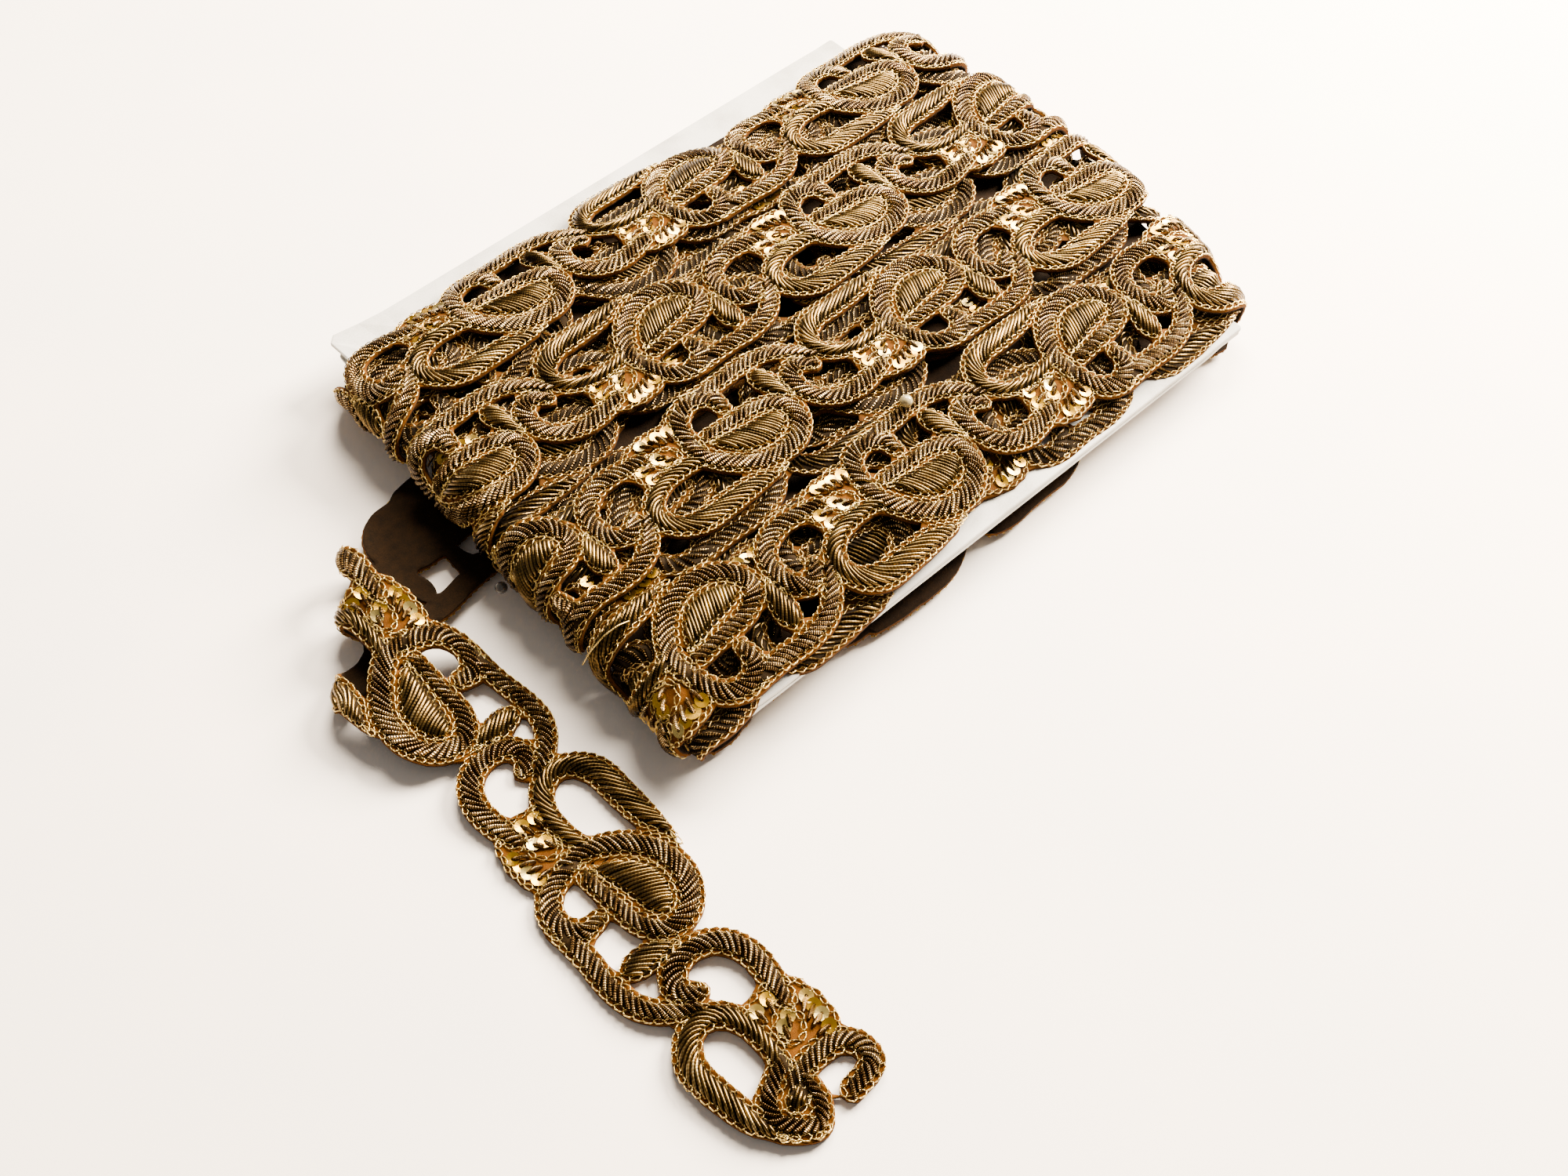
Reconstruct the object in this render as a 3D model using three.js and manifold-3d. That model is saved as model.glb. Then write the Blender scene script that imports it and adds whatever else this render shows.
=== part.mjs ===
// Sequin trim: an openwork embroidered strip wound on a flat card, with its loose end folded over and laid out.
// Millimetres, +Z up. The origin is on the surface it rests on, under the middle of the winding.
// X runs the way the trim is wound, and Y across its rows. Every strip is made flat first, with s along it,
// t across it and h up from its back. Its bands are joined there, and it is then bent into place.
import * as THREE from "three";
import { mergeVertices } from "three/addons/utils/BufferGeometryUtils.js";
import Module from "manifold-3d";

const wasm = await Module();
wasm.setup();

// The strip
const HALF_REPEAT = 80; // every other half repeat is mirrored
const FELT = 1.3; // cut backing, at a band's edge
const RELIEF = 3.2; // back of the felt to the top of the bullion
const STEP = 9; // length of one facet of a band
const BEND_STEP = 4.6; // and of one facet round a bend

// The card
const CARD_THICK = 3.2;
const CARD_MID_Z = 12.5;
const CARD_CORNERS = [ // the board is a little out of square
  [-119.5, -96.5],
  [105.5, -102],
  [119, 100],
  [-109.5, 95.5],
];
const CARD_CHIP = 5; // worn corner
const GAP = 0.3; // clearance between neighbouring pieces

// The winding
const TOP_Z = 22.3; // back of the outermost turns, where they lie on the turns below
const BEND_RADIUS = TOP_Z - CARD_MID_Z;
const CORE_CLEAR = 0.7; // inner turns, in from the outermost ones
const CORE_FRONT_Y = -99;
const CORE_BACK_Y = 85;
const CORE_TUCK = 10; // how far the underside stands in from the front edge
const CORE_GROOVE = 1.6; // depth of the valleys between the rows of inner turns
const CORE_SCALLOP = 5; // how far the edges of the inner turns wave in and out
// The front and back edges of the winding slump towards the card.
const EDGE_FALL = { front: -77, back: 68, slope: 0.27, most: 6, below: 2.5 };
// The outermost reach of the winding on each side.
const nearEndX = (y) => -128 + 0.057 * y;
const farEndX = (y) => 140.5 + 0.11 * y - 0.0014 * y * y;

// The outermost turns: y of the row, its yaw in degrees, x where a half repeat with its loop at the back starts, and
// how far below the horizontal, in degrees, the turn is followed round each end.
const ROWS = [
  { name: "outer_turn_1", y: 66, yaw: -0.6, start: -25, near: 56, far: 56 },
  { name: "outer_turn_2", y: 19, yaw: 0.5, start: -78, near: 30, far: 56 },
  { name: "outer_turn_3", y: -28, yaw: -0.4, start: -10, near: 56, far: 56 },
  { name: "outer_turn_4", y: -75, yaw: 0.3, start: 16, near: 56, far: 56 },
];

// The loose end leaves from under the second row, folds over on a slant and runs out in front of the winding.
const FOLD = { x: -164, y: 8, angle: 46.5, low: 3.4, radius: 4.5, taper: 0.1, short: -30, long: 40 };
const TAIL_ROOT_S = -52;
const TAIL_TIP_S = 206;
const TAIL_START_S = -4.4; // from the middle of the fold to the start of a half repeat
const TAIL_FALL = 55; // from the fold to where the loose end reaches the surface

// Half a repeat of the pattern, drawn with its loop at +t. w is the full width of a band.
const path = (...list) => list.map(([s, t, w]) => ({ s, t, w }));
const BANDS = {
  loop: path([39, 20, 2.5], [31, 18.8, 7.5], [20, 18.6, 9], [10, 18.3, 9], [4, 14.5, 8], [2.2, 9.5, 7.5],
    [4.5, 4, 7.5], [10.5, 0.7, 6.8], [18, 0, 6.5], [26, 1, 6]),
  mango: path([26.5, -5, 6], [27.5, 2, 7.5], [33, 10, 8], [41, 14.8, 8], [51, 14.8, 8], [58, 9.5, 8],
    [59, 2.5, 7.5], [53, -2.4, 6.8], [44, -3.4, 6.4], [33, -4, 6]),
  curl: path([27.5, -3, 6.5], [28.3, -10, 7.5], [31.5, -15.5, 7.8], [38, -17.8, 7.8], [43.8, -14.6, 7.6],
    [44, -9.2, 6]),
  sweep: path([40, -18.4, 7], [50, -18.2, 7], [61, -18.8, 7], [70, -16.8, 7], [76, -12, 6.5], [79.6, -6.6, 5]),
  scroll: path([93, 10.5, 6], [85, 12, 7.6], [77, 12.3, 7.8], [70, 8.8, 7.6], [66.8, 2.5, 7.4], [67.6, -4.4, 8],
    [72.3, -7.6, 7.6], [76.6, -4.4, 6.2]),
};
const MOUNDS = {
  drop: path([29, -3], [38, 7.5], [46, 11], [53, 9.5], [56.5, 5.5], [53, 1], [44, -1.5]),
  leaf: path([63.2, 1.4], [56.8, -6.5], [57.4, -13], [60.5, -15.6], [63.4, -12], [64.6, -6]),
  fan: path([25, 2], [9, 0], [4.5, -5.5], [8, -12.5], [14, -17.2], [21, -18.4], [28, -15.8]),
};
// Where the loose end is cut it has a filled shape and a hook in place of the mango and its curl.
const TIP_BANDS = {
  loop: path([36, 13.6, 3], [29, 16, 7], [20, 17.6, 8], [10, 18.2, 8.6], [4, 14.5, 8], [2.2, 9.5, 7.5],
    [4.5, 4, 7.5], [10.5, 1.2, 6.8], [18, 0.8, 6.5], [26, 1.8, 6]),
  hook: path([28.5, 3, 6], [27.8, -6, 7.4], [29, -12.5, 7.2], [33.5, -15.8, 6.8], [38.6, -14.6, 7],
    [39.8, -6.6, 6.8]),
};
const TIP_MOUNDS = {
  fan: path([25, 2], [8, 0.5], [6.5, -6], [8, -12.5], [12, -16.8], [20, -18.4], [26.5, -15.8]),
  heart: path([22, 3.5], [30, -1.5], [37, -1.5], [43.5, 4.6], [42, 9.5], [37, 14.8], [31, 15], [26, 10]),
};

// Points evenly spaced along a band's smooth middle line, about step apart.
// The curve carries w as a third coordinate.
function sampled(table, step) {
  const knots = table.map(({ s, t, w }) => new THREE.Vector3(s, t, w));
  const curve = new THREE.CatmullRomCurve3(knots, false, "centripetal");
  return curve.getSpacedPoints(Math.max(3, Math.round(curve.getLength() / step)));
}

function geometry(points, faces) {
  const made = new THREE.BufferGeometry();
  made.setAttribute("position", new THREE.Float32BufferAttribute(points.flat(), 3));
  made.setIndex(faces);
  return made;
}

function solid(made) {
  const plain = made.clone();
  for (const name of Object.keys(plain.attributes)) {
    if (name !== "position") plain.deleteAttribute(name);
  }
  const merged = mergeVertices(plain, 1e-4);
  return new wasm.Manifold(
    new wasm.Mesh({
      numProp: 3,
      vertProperties: merged.attributes.position.array,
      triVerts: new Uint32Array(merged.index.array),
    }),
  );
}

function toGeometry(manifold) {
  const mesh = manifold.getMesh();
  const made = new THREE.BufferGeometry();
  made.setAttribute("position", new THREE.BufferAttribute(mesh.vertProperties, 3));
  made.setIndex(new THREE.BufferAttribute(mesh.triVerts, 1));
  return made;
}

const join = (solids) => solids.reduce((all, next) => all.add(next));

// A padded band: a flat back, thin edges and a raised middle, swept along its middle line.
function bandSolid(points) {
  const corners = [
    [-0.5, 0],
    [0.5, 0],
    [0.5, FELT],
    [0, RELIEF],
    [-0.5, FELT],
  ];
  const ring = corners.length;
  const vertices = [];
  points.forEach((p, i) => {
    const before = points[Math.max(0, i - 1)];
    const after = points[Math.min(points.length - 1, i + 1)];
    const along = new THREE.Vector2(after.x - before.x, after.y - before.y).normalize();
    for (const [side, h] of corners) vertices.push([p.x - along.y * side * p.z, p.y + along.x * side * p.z, h]);
  });
  const faces = [];
  for (let i = 0; i < points.length - 1; i++) {
    for (let j = 0; j < ring; j++) {
      const [a, b] = [i * ring + j, i * ring + ((j + 1) % ring)];
      faces.push(a, b, b + ring, a, b + ring, a + ring);
    }
  }
  const last = (points.length - 1) * ring;
  for (let j = 1; j < ring - 1; j++) faces.push(0, j + 1, j, last, last + j, last + j + 1);
  return solid(geometry(vertices, faces));
}

// A filled shape, such as a leaf, with thin edges and a raised middle.
function moundSolid(outline) {
  const count = outline.length;
  const area = outline.reduce((sum, p, i) => {
    const q = outline[(i + 1) % count];
    return sum + p.s * q.t - q.s * p.t;
  }, 0);
  const ordered = area > 0 ? outline : [...outline].reverse();
  const middle = { s: 0, t: 0 };
  for (const p of ordered) {
    middle.s += p.s / count;
    middle.t += p.t / count;
  }
  const vertices = [
    ...ordered.map((p) => [p.s, p.t, 0]),
    ...ordered.map((p) => [p.s, p.t, FELT]),
    [middle.s, middle.t, 0],
    [middle.s, middle.t, RELIEF],
  ];
  const [below, above] = [2 * count, 2 * count + 1];
  const faces = [];
  for (let i = 0; i < count; i++) {
    const j = (i + 1) % count;
    faces.push(below, j, i, i, j, j + count, i, j + count, i + count, above, i + count, j + count);
  }
  return solid(geometry(vertices, faces));
}

// One half repeat whose loop starts at s0. side is 1 with the loop at +t and -1 with it at -t.
function halfRepeat(s0, side, bands, mounds) {
  const set = (p) => ({ s: s0 + p.s, t: side * p.t, w: p.w });
  return [
    ...Object.values(bands).map((table) => bandSolid(sampled(table.map(set), STEP))),
    ...Object.values(mounds).map((table) => moundSolid(table.map(set))),
  ];
}

// The strip's pieces joined and cut across where from() and to() give s at each t,
// without the bits this cuts loose.
function stripSolid(pieces, from, to) {
  const across = [-30, -20, -10, 0, 10, 20, 30];
  const outline = [
    ...across.map((t) => new THREE.Vector2(to(t), t)),
    ...across.toReversed().map((t) => new THREE.Vector2(from(t), t)),
  ];
  const span = new THREE.ExtrudeGeometry(new THREE.Shape(outline), { depth: 20, bevelEnabled: false });
  const bodies = join(pieces).intersect(solid(span.translate(0, 0, -10))).decompose();
  return bodies.sort((a, b) => b.volume() - a.volume())[0];
}

// The flat strip, bent: edges longer than BEND_STEP round a bend are halved first,
// and place() then moves each vertex.
// bending() gives a point's distance along the bend's curve.
function bentGeometry(flat, bending, bends, place) {
  const mesh = flat.getMesh();
  const points = [];
  for (let i = 0; i < mesh.vertProperties.length; i += 3) points.push([...mesh.vertProperties.slice(i, i + 3)]);
  let triangles = [];
  for (let i = 0; i < mesh.triVerts.length; i += 3) triangles.push([...mesh.triVerts.slice(i, i + 3)]);
  const halves = new Map();
  const tooLong = (a, b) => {
    const [p, q] = [points[a], points[b]];
    if (Math.abs(bending(p) - bending(q)) <= BEND_STEP) return false;
    return bends(p) || bends(q) || bends([(p[0] + q[0]) / 2, (p[1] + q[1]) / 2, 0]);
  };
  const half = (a, b) => {
    const key = a < b ? `${a} ${b}` : `${b} ${a}`;
    if (!halves.has(key)) {
      points.push(points[a].map((v, i) => (v + points[b][i]) / 2));
      halves.set(key, points.length - 1);
    }
    return halves.get(key);
  };
  for (let again = true; again; ) {
    again = false;
    const next = [];
    for (const [a, b, c] of triangles) {
      const split = [tooLong(a, b), tooLong(b, c), tooLong(c, a)];
      const at = split.indexOf(true);
      if (at < 0) {
        next.push([a, b, c]);
        continue;
      }
      again = true;
      const [p, q, r] = at === 0 ? [a, b, c] : at === 1 ? [b, c, a] : [c, a, b];
      const middle = half(p, q);
      next.push([p, middle, r], [middle, q, r]);
    }
    triangles = next;
  }
  return geometry(points.map(([s, t, h]) => place(s, t, h)), triangles.flat());
}

// How far the winding has slumped at y. The turns below start to fall a little further in.
function edgeFall(y, inward = 0) {
  const out = Math.max(0, EDGE_FALL.front + inward - y, y - (EDGE_FALL.back - inward));
  return Math.min(EDGE_FALL.most, EDGE_FALL.slope * out);
}

// The turns of one outer row: over the top of the winding and round both of its ends.
function rowGeometry(row) {
  const yaw = Math.tan(THREE.MathUtils.degToRad(row.yaw));
  const nearX = (y) => nearEndX(y) + BEND_RADIUS + RELIEF;
  const farX = (y) => farEndX(y) - BEND_RADIUS - RELIEF;
  const place = (s, t, h) => {
    const radius = BEND_RADIUS + h;
    const y = row.y + t + THREE.MathUtils.clamp(s, nearX(row.y), farX(row.y)) * yaw;
    const fall = edgeFall(y);
    if (s >= nearX(y) && s <= farX(y)) return [s, y, CARD_MID_Z + radius - fall];
    const [end, way] = s < nearX(y) ? [nearX(y), -1] : [farX(y), 1];
    const angle = Math.abs(s - end) / BEND_RADIUS;
    const level = Math.cos(angle);
    return [end + way * radius * Math.sin(angle), y, CARD_MID_Z + radius * level - fall * Math.max(0, level)];
  };
  const bends = ([s, t]) => s < nearX(row.y + t) + 2 || s > farX(row.y + t) - 2;
  const from = (t) => nearX(row.y + t) - BEND_RADIUS * THREE.MathUtils.degToRad(90 + row.near);
  const to = (t) => farX(row.y + t) + BEND_RADIUS * THREE.MathUtils.degToRad(90 + row.far);
  const pieces = [];
  for (let k = -4; k <= 4; k++) {
    const s0 = row.start + k * HALF_REPEAT;
    if (s0 < from(0) - 1.3 * HALF_REPEAT || s0 > to(0) + 10) continue;
    pieces.push(...halfRepeat(s0, k % 2 === 0 ? 1 : -1, BANDS, MOUNDS));
  }
  return bentGeometry(stripSolid(pieces, from, to), ([s]) => s, bends, place);
}

const foldTurn = THREE.MathUtils.degToRad(FOLD.angle);
const [foldCos, foldSin] = [Math.cos(foldTurn), Math.sin(foldTurn)];
// Distance from the fold's line on the flat, positive on the side that lies face up,
// and distance along that line.
const foldAcross = (s, t) => t * foldSin + (s + TAIL_START_S) * foldCos;
const foldAlong = (s, t) => t * foldCos - (s + TAIL_START_S) * foldSin;
// The fold is rounder towards the winding.
const foldRadius = (along) => FOLD.radius + FOLD.taper * THREE.MathUtils.clamp(along, FOLD.short, FOLD.long);

// The loose end: face down from under the winding, over the slant fold, then face up and down to the surface.
function placeTail(s, t, h) {
  const across = foldAcross(s, t);
  const along = foldAlong(s, t);
  const radius = foldRadius(along);
  const half = (Math.PI * radius) / 2;
  const angle = THREE.MathUtils.clamp(across / radius, -Math.PI / 2, Math.PI / 2);
  const past = Math.max(0, Math.abs(across) - half);
  const out = past - (radius + h) * Math.cos(angle);
  const x = FOLD.x + along * foldCos + out * foldSin;
  const y = FOLD.y + along * foldSin - out * foldCos;
  if (across <= half) return [x, y, FOLD.low + radius + (radius + h) * Math.sin(angle)];
  const fall = THREE.MathUtils.smootherstep(past, 0, TAIL_FALL);
  return [x, y, (FOLD.low + 2 * radius) * (1 - fall) + h];
}

function looseEndGeometry() {
  const across = ([s, t]) => foldAcross(s, t);
  const bends = ([s, t]) => Math.abs(foldAcross(s, t)) < (foldRadius(foldAlong(s, t)) * Math.PI) / 2 + 2;
  const pieces = [];
  for (let k = -1; k <= 1; k++) {
    const side = k % 2 === 0 ? -1 : 1;
    pieces.push(...halfRepeat(k * HALF_REPEAT, side, BANDS, MOUNDS));
  }
  pieces.push(...halfRepeat(2 * HALF_REPEAT, -1, TIP_BANDS, TIP_MOUNDS));
  const flat = stripSolid(pieces, () => TAIL_ROOT_S, () => TAIL_TIP_S);
  return bentGeometry(flat, across, bends, placeTail);
}

// The inner turns, one wound form with its rows and waving edges, hollow where the card passes through.
function innerTurnsSolid(slot) {
  const radius = BEND_RADIUS - CORE_CLEAR;
  const endSteps = 6;
  const sideSteps = 12;
  const acrossSteps = 22;
  const foot = 8; // the underside stands in from the round ends
  // The section at y, as [x, z, outward x, outward z, distance along], going round from the far end's foot.
  const section = (y) => {
    const near = nearEndX(y) + BEND_RADIUS + RELIEF;
    const far = farEndX(y) - BEND_RADIUS - RELIEF;
    const points = [];
    const onBend = (end, angle) => {
      const [outX, outZ] = [Math.cos(angle), Math.sin(angle)];
      points.push([end + radius * outX, CARD_MID_Z + radius * outZ, outX, outZ]);
    };
    for (let i = 0; i <= endSteps * 2; i++) onBend(far, -Math.PI / 2 + (Math.PI * i) / (endSteps * 2));
    for (let i = 1; i < sideSteps; i++) {
      points.push([THREE.MathUtils.lerp(far, near, i / sideSteps), CARD_MID_Z + radius, 0, 1]);
    }
    for (let i = 0; i <= endSteps * 2; i++) onBend(near, Math.PI / 2 + (Math.PI * i) / (endSteps * 2));
    points.push([near + foot, 0, 0, 0]);
    points.push([far - foot, 0, 0, 0]);
    return points;
  };
  const count = section(0).length;
  const rowPitch = (CORE_BACK_Y - CORE_FRONT_Y) / 4;
  const vertices = [];
  for (let j = 0; j <= acrossSteps; j++) {
    const share = j / acrossSteps;
    const y = THREE.MathUtils.lerp(CORE_FRONT_Y, CORE_BACK_Y, share);
    section(y).forEach(([x, z, outX, outZ], i) => {
      const groove = (CORE_GROOVE * (1 + Math.cos((2 * Math.PI * (y - CORE_FRONT_Y)) / rowPitch))) / 2;
      const wave = Math.sin((x / HALF_REPEAT) * 2 * Math.PI) * CORE_SCALLOP;
      const frontEdge = Math.max(0, 1 - share * 6);
      const backEdge = Math.max(0, 1 - (1 - share) * 6);
      const low = 1 - THREE.MathUtils.smoothstep(z, 0, CARD_MID_Z);
      const shift = z > CARD_MID_Z ? wave * (frontEdge - backEdge) : CORE_TUCK * low * frontEdge;
      const level = THREE.MathUtils.clamp((z - CARD_MID_Z) / radius, 0, 1);
      const fall = edgeFall(y + shift, EDGE_FALL.below) * level;
      vertices.push([x - outX * groove, y + shift, z - outZ * groove - fall]);
    });
  }
  const faces = [];
  for (let j = 0; j < acrossSteps; j++) {
    for (let i = 0; i < count; i++) {
      const k = (i + 1) % count;
      const [a, b] = [j * count + i, j * count + k];
      faces.push(a, a + count, b + count, a, b + count, b);
    }
  }
  const firstMiddle = vertices.length;
  vertices.push([0, CORE_FRONT_Y, CARD_MID_Z], [0, CORE_BACK_Y, CARD_MID_Z]);
  const lastRing = acrossSteps * count;
  for (let i = 0; i < count; i++) {
    const k = (i + 1) % count;
    faces.push(firstMiddle, i, k, firstMiddle + 1, lastRing + k, lastRing + i);
  }
  return solid(geometry(vertices, faces)).subtract(slot);
}

// The card's outline, with a worn corner at each end of its near edge.
function cardShape() {
  const [frontNear, frontFar, backFar, backNear] = CARD_CORNERS.map(([x, y]) => new THREE.Vector2(x, y));
  const toward = (from, to, distance) => to.clone().sub(from).setLength(distance).add(from);
  return new THREE.Shape([
    toward(frontNear, frontFar, CARD_CHIP),
    frontFar,
    backFar,
    toward(backNear, backFar, CARD_CHIP),
    toward(backNear, frontNear, CARD_CHIP * 0.6).add(new THREE.Vector2(CARD_CHIP * 0.25, 0)),
    toward(backNear, frontNear, CARD_CHIP * 1.6),
    toward(frontNear, backNear, CARD_CHIP * 1.6),
    toward(frontNear, backNear, CARD_CHIP * 0.6).add(new THREE.Vector2(CARD_CHIP * 0.25, 0)),
  ]);
}

function cardGeometry() {
  return new THREE.ExtrudeGeometry(cardShape(), { depth: CARD_THICK, bevelEnabled: false });
}

// The space that the card takes in the winding.
function slotSolid() {
  const past = 30; // beyond the edges of the winding
  const edgeAt = ([x0, y0], [x1, y1], y) => THREE.MathUtils.mapLinear(y, y0, y1, x0, x1);
  const nearAt = (y) => edgeAt(CARD_CORNERS[0], CARD_CORNERS[3], y);
  const farAt = (y) => edgeAt(CARD_CORNERS[1], CARD_CORNERS[2], y);
  const [front, back] = [CARD_CORNERS[1][1] - past, CARD_CORNERS[2][1] + past];
  const shape = new THREE.Shape([
    new THREE.Vector2(nearAt(front) - GAP, front),
    new THREE.Vector2(farAt(front) + GAP, front),
    new THREE.Vector2(farAt(back) + GAP, back),
    new THREE.Vector2(nearAt(back) - GAP, back),
  ]);
  const made = new THREE.ExtrudeGeometry(shape, { depth: CARD_THICK + 2 * GAP, bevelEnabled: false });
  return solid(made).translate([0, 0, CARD_MID_Z - CARD_THICK / 2 - GAP]);
}

const goldMaterial = new THREE.MeshStandardMaterial({ color: 0x8f7440, roughness: 0.45, metalness: 0.75 });
const innerMaterial = new THREE.MeshStandardMaterial({ color: 0x5e4826, roughness: 0.6, metalness: 0.5 });
const cardMaterial = new THREE.MeshStandardMaterial({ color: 0xe9e7e1, roughness: 0.8, metalness: 0 });

function piece(name, made, material) {
  const mesh = new THREE.Mesh(made, material);
  mesh.name = name;
  return mesh;
}

const trim = new THREE.Group();
trim.name = "sequin_trim";

const card = piece("card", cardGeometry(), cardMaterial);
card.position.z = CARD_MID_Z - CARD_THICK / 2;
trim.add(card);
trim.add(piece("inner_turns", toGeometry(innerTurnsSolid(slotSolid())), innerMaterial));
for (const row of ROWS) trim.add(piece(row.name, rowGeometry(row), goldMaterial));
trim.add(piece("loose_end", looseEndGeometry(), goldMaterial));

export default trim;
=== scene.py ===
"""Sequin trim wound on a white card, with its loose end folded over and laid out.

The trim is worked flat in millimetres, half a repeat at a time, as its maker works it: cut felt, padding,
laid bullion wires, chain stitch and sequins. Each length is then laid round the card or folded.
"""

from __future__ import annotations

import logging
import math
from dataclasses import dataclass, field, replace
from enum import Enum
from typing import Any, Callable, Iterable, Sequence

import bpy
import numpy as np
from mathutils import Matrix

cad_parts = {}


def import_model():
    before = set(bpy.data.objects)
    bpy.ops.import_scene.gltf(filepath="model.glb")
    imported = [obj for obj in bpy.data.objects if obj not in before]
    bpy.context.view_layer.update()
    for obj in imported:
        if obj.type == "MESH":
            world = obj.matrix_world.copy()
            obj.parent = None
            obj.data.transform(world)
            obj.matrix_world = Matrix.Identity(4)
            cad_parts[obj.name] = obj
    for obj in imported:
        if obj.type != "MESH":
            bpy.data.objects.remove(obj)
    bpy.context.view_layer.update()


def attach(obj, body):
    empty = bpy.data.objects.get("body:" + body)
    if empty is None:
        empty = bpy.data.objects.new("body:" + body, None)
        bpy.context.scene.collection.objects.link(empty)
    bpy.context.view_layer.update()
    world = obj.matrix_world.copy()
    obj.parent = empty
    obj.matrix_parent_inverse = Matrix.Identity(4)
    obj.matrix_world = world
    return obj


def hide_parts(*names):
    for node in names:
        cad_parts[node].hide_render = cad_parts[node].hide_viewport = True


LOG = logging.getLogger("trim")
MM = 0.001
HALF_REPEAT = 80.0  # every other half repeat is mirrored
FELT = 1.3  # felt and velvet together
PADDED = 2.3  # back of the felt to the top of the padding
CARD_MID_Z = 12.5
CARD_THICK = 3.2
BEND_INSET = 13.0  # from the outermost reach of the winding to the middle of its bends
STRIP_REACH = 25.0  # from the middle of a strip to past its edge
UV_NAME = "UVMap"

Place = Callable[[np.ndarray, np.ndarray, np.ndarray], np.ndarray]


class Thread(Enum):
    """What a band or filling is worked in."""

    SMOOTH = "smooth bullion"
    ROUGH = "rough bullion"


class Detail(Enum):
    """How finely a length of trim is worked."""

    FINE = "outermost turns and loose end"
    COARSE = "turns below and the underside"


# The pattern, in millimetres: distance along, distance across, full width


@dataclass(frozen=True)
class Band:
    """A padded band of laid wires with chain stitch along both edges."""

    rank: int
    thread: Thread
    lay: float
    line: tuple[tuple[float, float, float], ...]


@dataclass(frozen=True)
class Filling:
    """A mound filled with parallel wires inside a line of chain stitch."""

    rank: int
    thread: Thread
    turn: float
    outline: tuple[tuple[float, float], ...]


@dataclass(frozen=True)
class Ground:
    """Bare felt with chain stitch along its edge."""

    rank: int
    outline: tuple[tuple[float, float], ...]


@dataclass(frozen=True)
class Fan:
    """A scalloped patch with rays of bullion, each through a sequin."""

    rank: int
    outline: tuple[tuple[float, float], ...]
    stem: tuple[float, float]  # where the rays point
    sequins: tuple[tuple[float, float, float], ...]  # with the length of the ray from each
    drop: tuple[tuple[float, float], ...]


LOOP = Band(3, Thread.SMOOTH, 30, (
    (42, 20.2, 1.5), (38, 20, 3.5), (31, 18.8, 7.5), (20, 18.6, 9), (10, 18.3, 9),
    (4, 14.5, 8), (2.2, 9.5, 7.5),
    (4.5, 4, 7.5), (10.5, 0.7, 6.8), (18, 0, 6.5), (26, 1, 6)))
MANGO = Band(0, Thread.ROUGH, -45, (
    (26.5, -5, 6), (27.5, 2, 7.5), (33, 10, 8), (41, 14.8, 8), (51, 14.8, 8), (58, 9.5, 8), (59, 2.5, 7.5),
    (53, -2.4, 6.8), (44, -3.4, 6.4), (33, -4, 6)))
CURL = Band(2, Thread.ROUGH, -50, (
    (27.5, -3, 6.5), (28.3, -10, 7.5), (31.5, -15.5, 7.8), (38, -17.8, 7.8), (43.8, -14.6, 7.6),
    (44, -9.2, 6)))
SWEEP = Band(5, Thread.ROUGH, -44, (
    (40, -18.4, 7), (50, -18.2, 7), (61, -18.8, 7), (70, -16.8, 7), (76, -12, 6.5), (79.6, -6.6, 5)))
SCROLL = Band(4, Thread.ROUGH, -48, (
    (93, 10.5, 6), (85, 12, 7.6), (77, 12.3, 7.8), (70, 8.8, 7.6), (66.8, 2.5, 7.4), (67.6, -4.4, 8),
    (72.3, -7.6, 7.6), (76.4, -4.4, 6.4), (77, -1.6, 2.2)))
DROP = Filling(1, Thread.SMOOTH, 62, (
    (32, -1.5), (36, 6.8), (42, 11.2), (49, 11.4), (54.6, 8.6), (56.2, 4.8), (53.4, 1.6), (44, 0)))
LEAF = Filling(6, Thread.SMOOTH, 52, (
    (63.2, 1.4), (59, -2.6), (56.6, -7.5), (56.9, -12.6), (60.5, -15.6), (64, -12.6), (65, -6.6)))
FAN = Fan(
    7,
    ((25, 2), (9, 0), (6.4, -1.2), (6.2, -4.4), (5.2, -6.6), (6.2, -9.6), (6.4, -12), (8.6, -14.8),
     (10.2, -16.8),
     (13.8, -17.2), (17, -18.4), (20.6, -17.8), (24.4, -17.6), (27.4, -15), (28, -12)),
    (24, -3),
    ((10.2, -2.9, 4.2), (9.7, -6.9, 4.4), (10.6, -11, 4.6), (12.7, -13.6, 4.6), (15.7, -14.6, 4.5),
     (18.6, -14.4, 4.4), (21.5, -14.2, 4.4), (25, -13.4, 4.2), (16.1, -7.9, 3.4), (17.5, -5.2, 3.4)),
    ((20, -2.6), (16.4, -2.9), (14.2, -5.6), (14.3, -8.9), (17, -10.2), (20.6, -8.9), (22.8, -5.6)))
REPEAT = {"mango": MANGO, "drop": DROP, "curl": CURL, "loop": LOOP, "scroll": SCROLL, "sweep": SWEEP,
          "leaf": LEAF, "fan": FAN}

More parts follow.
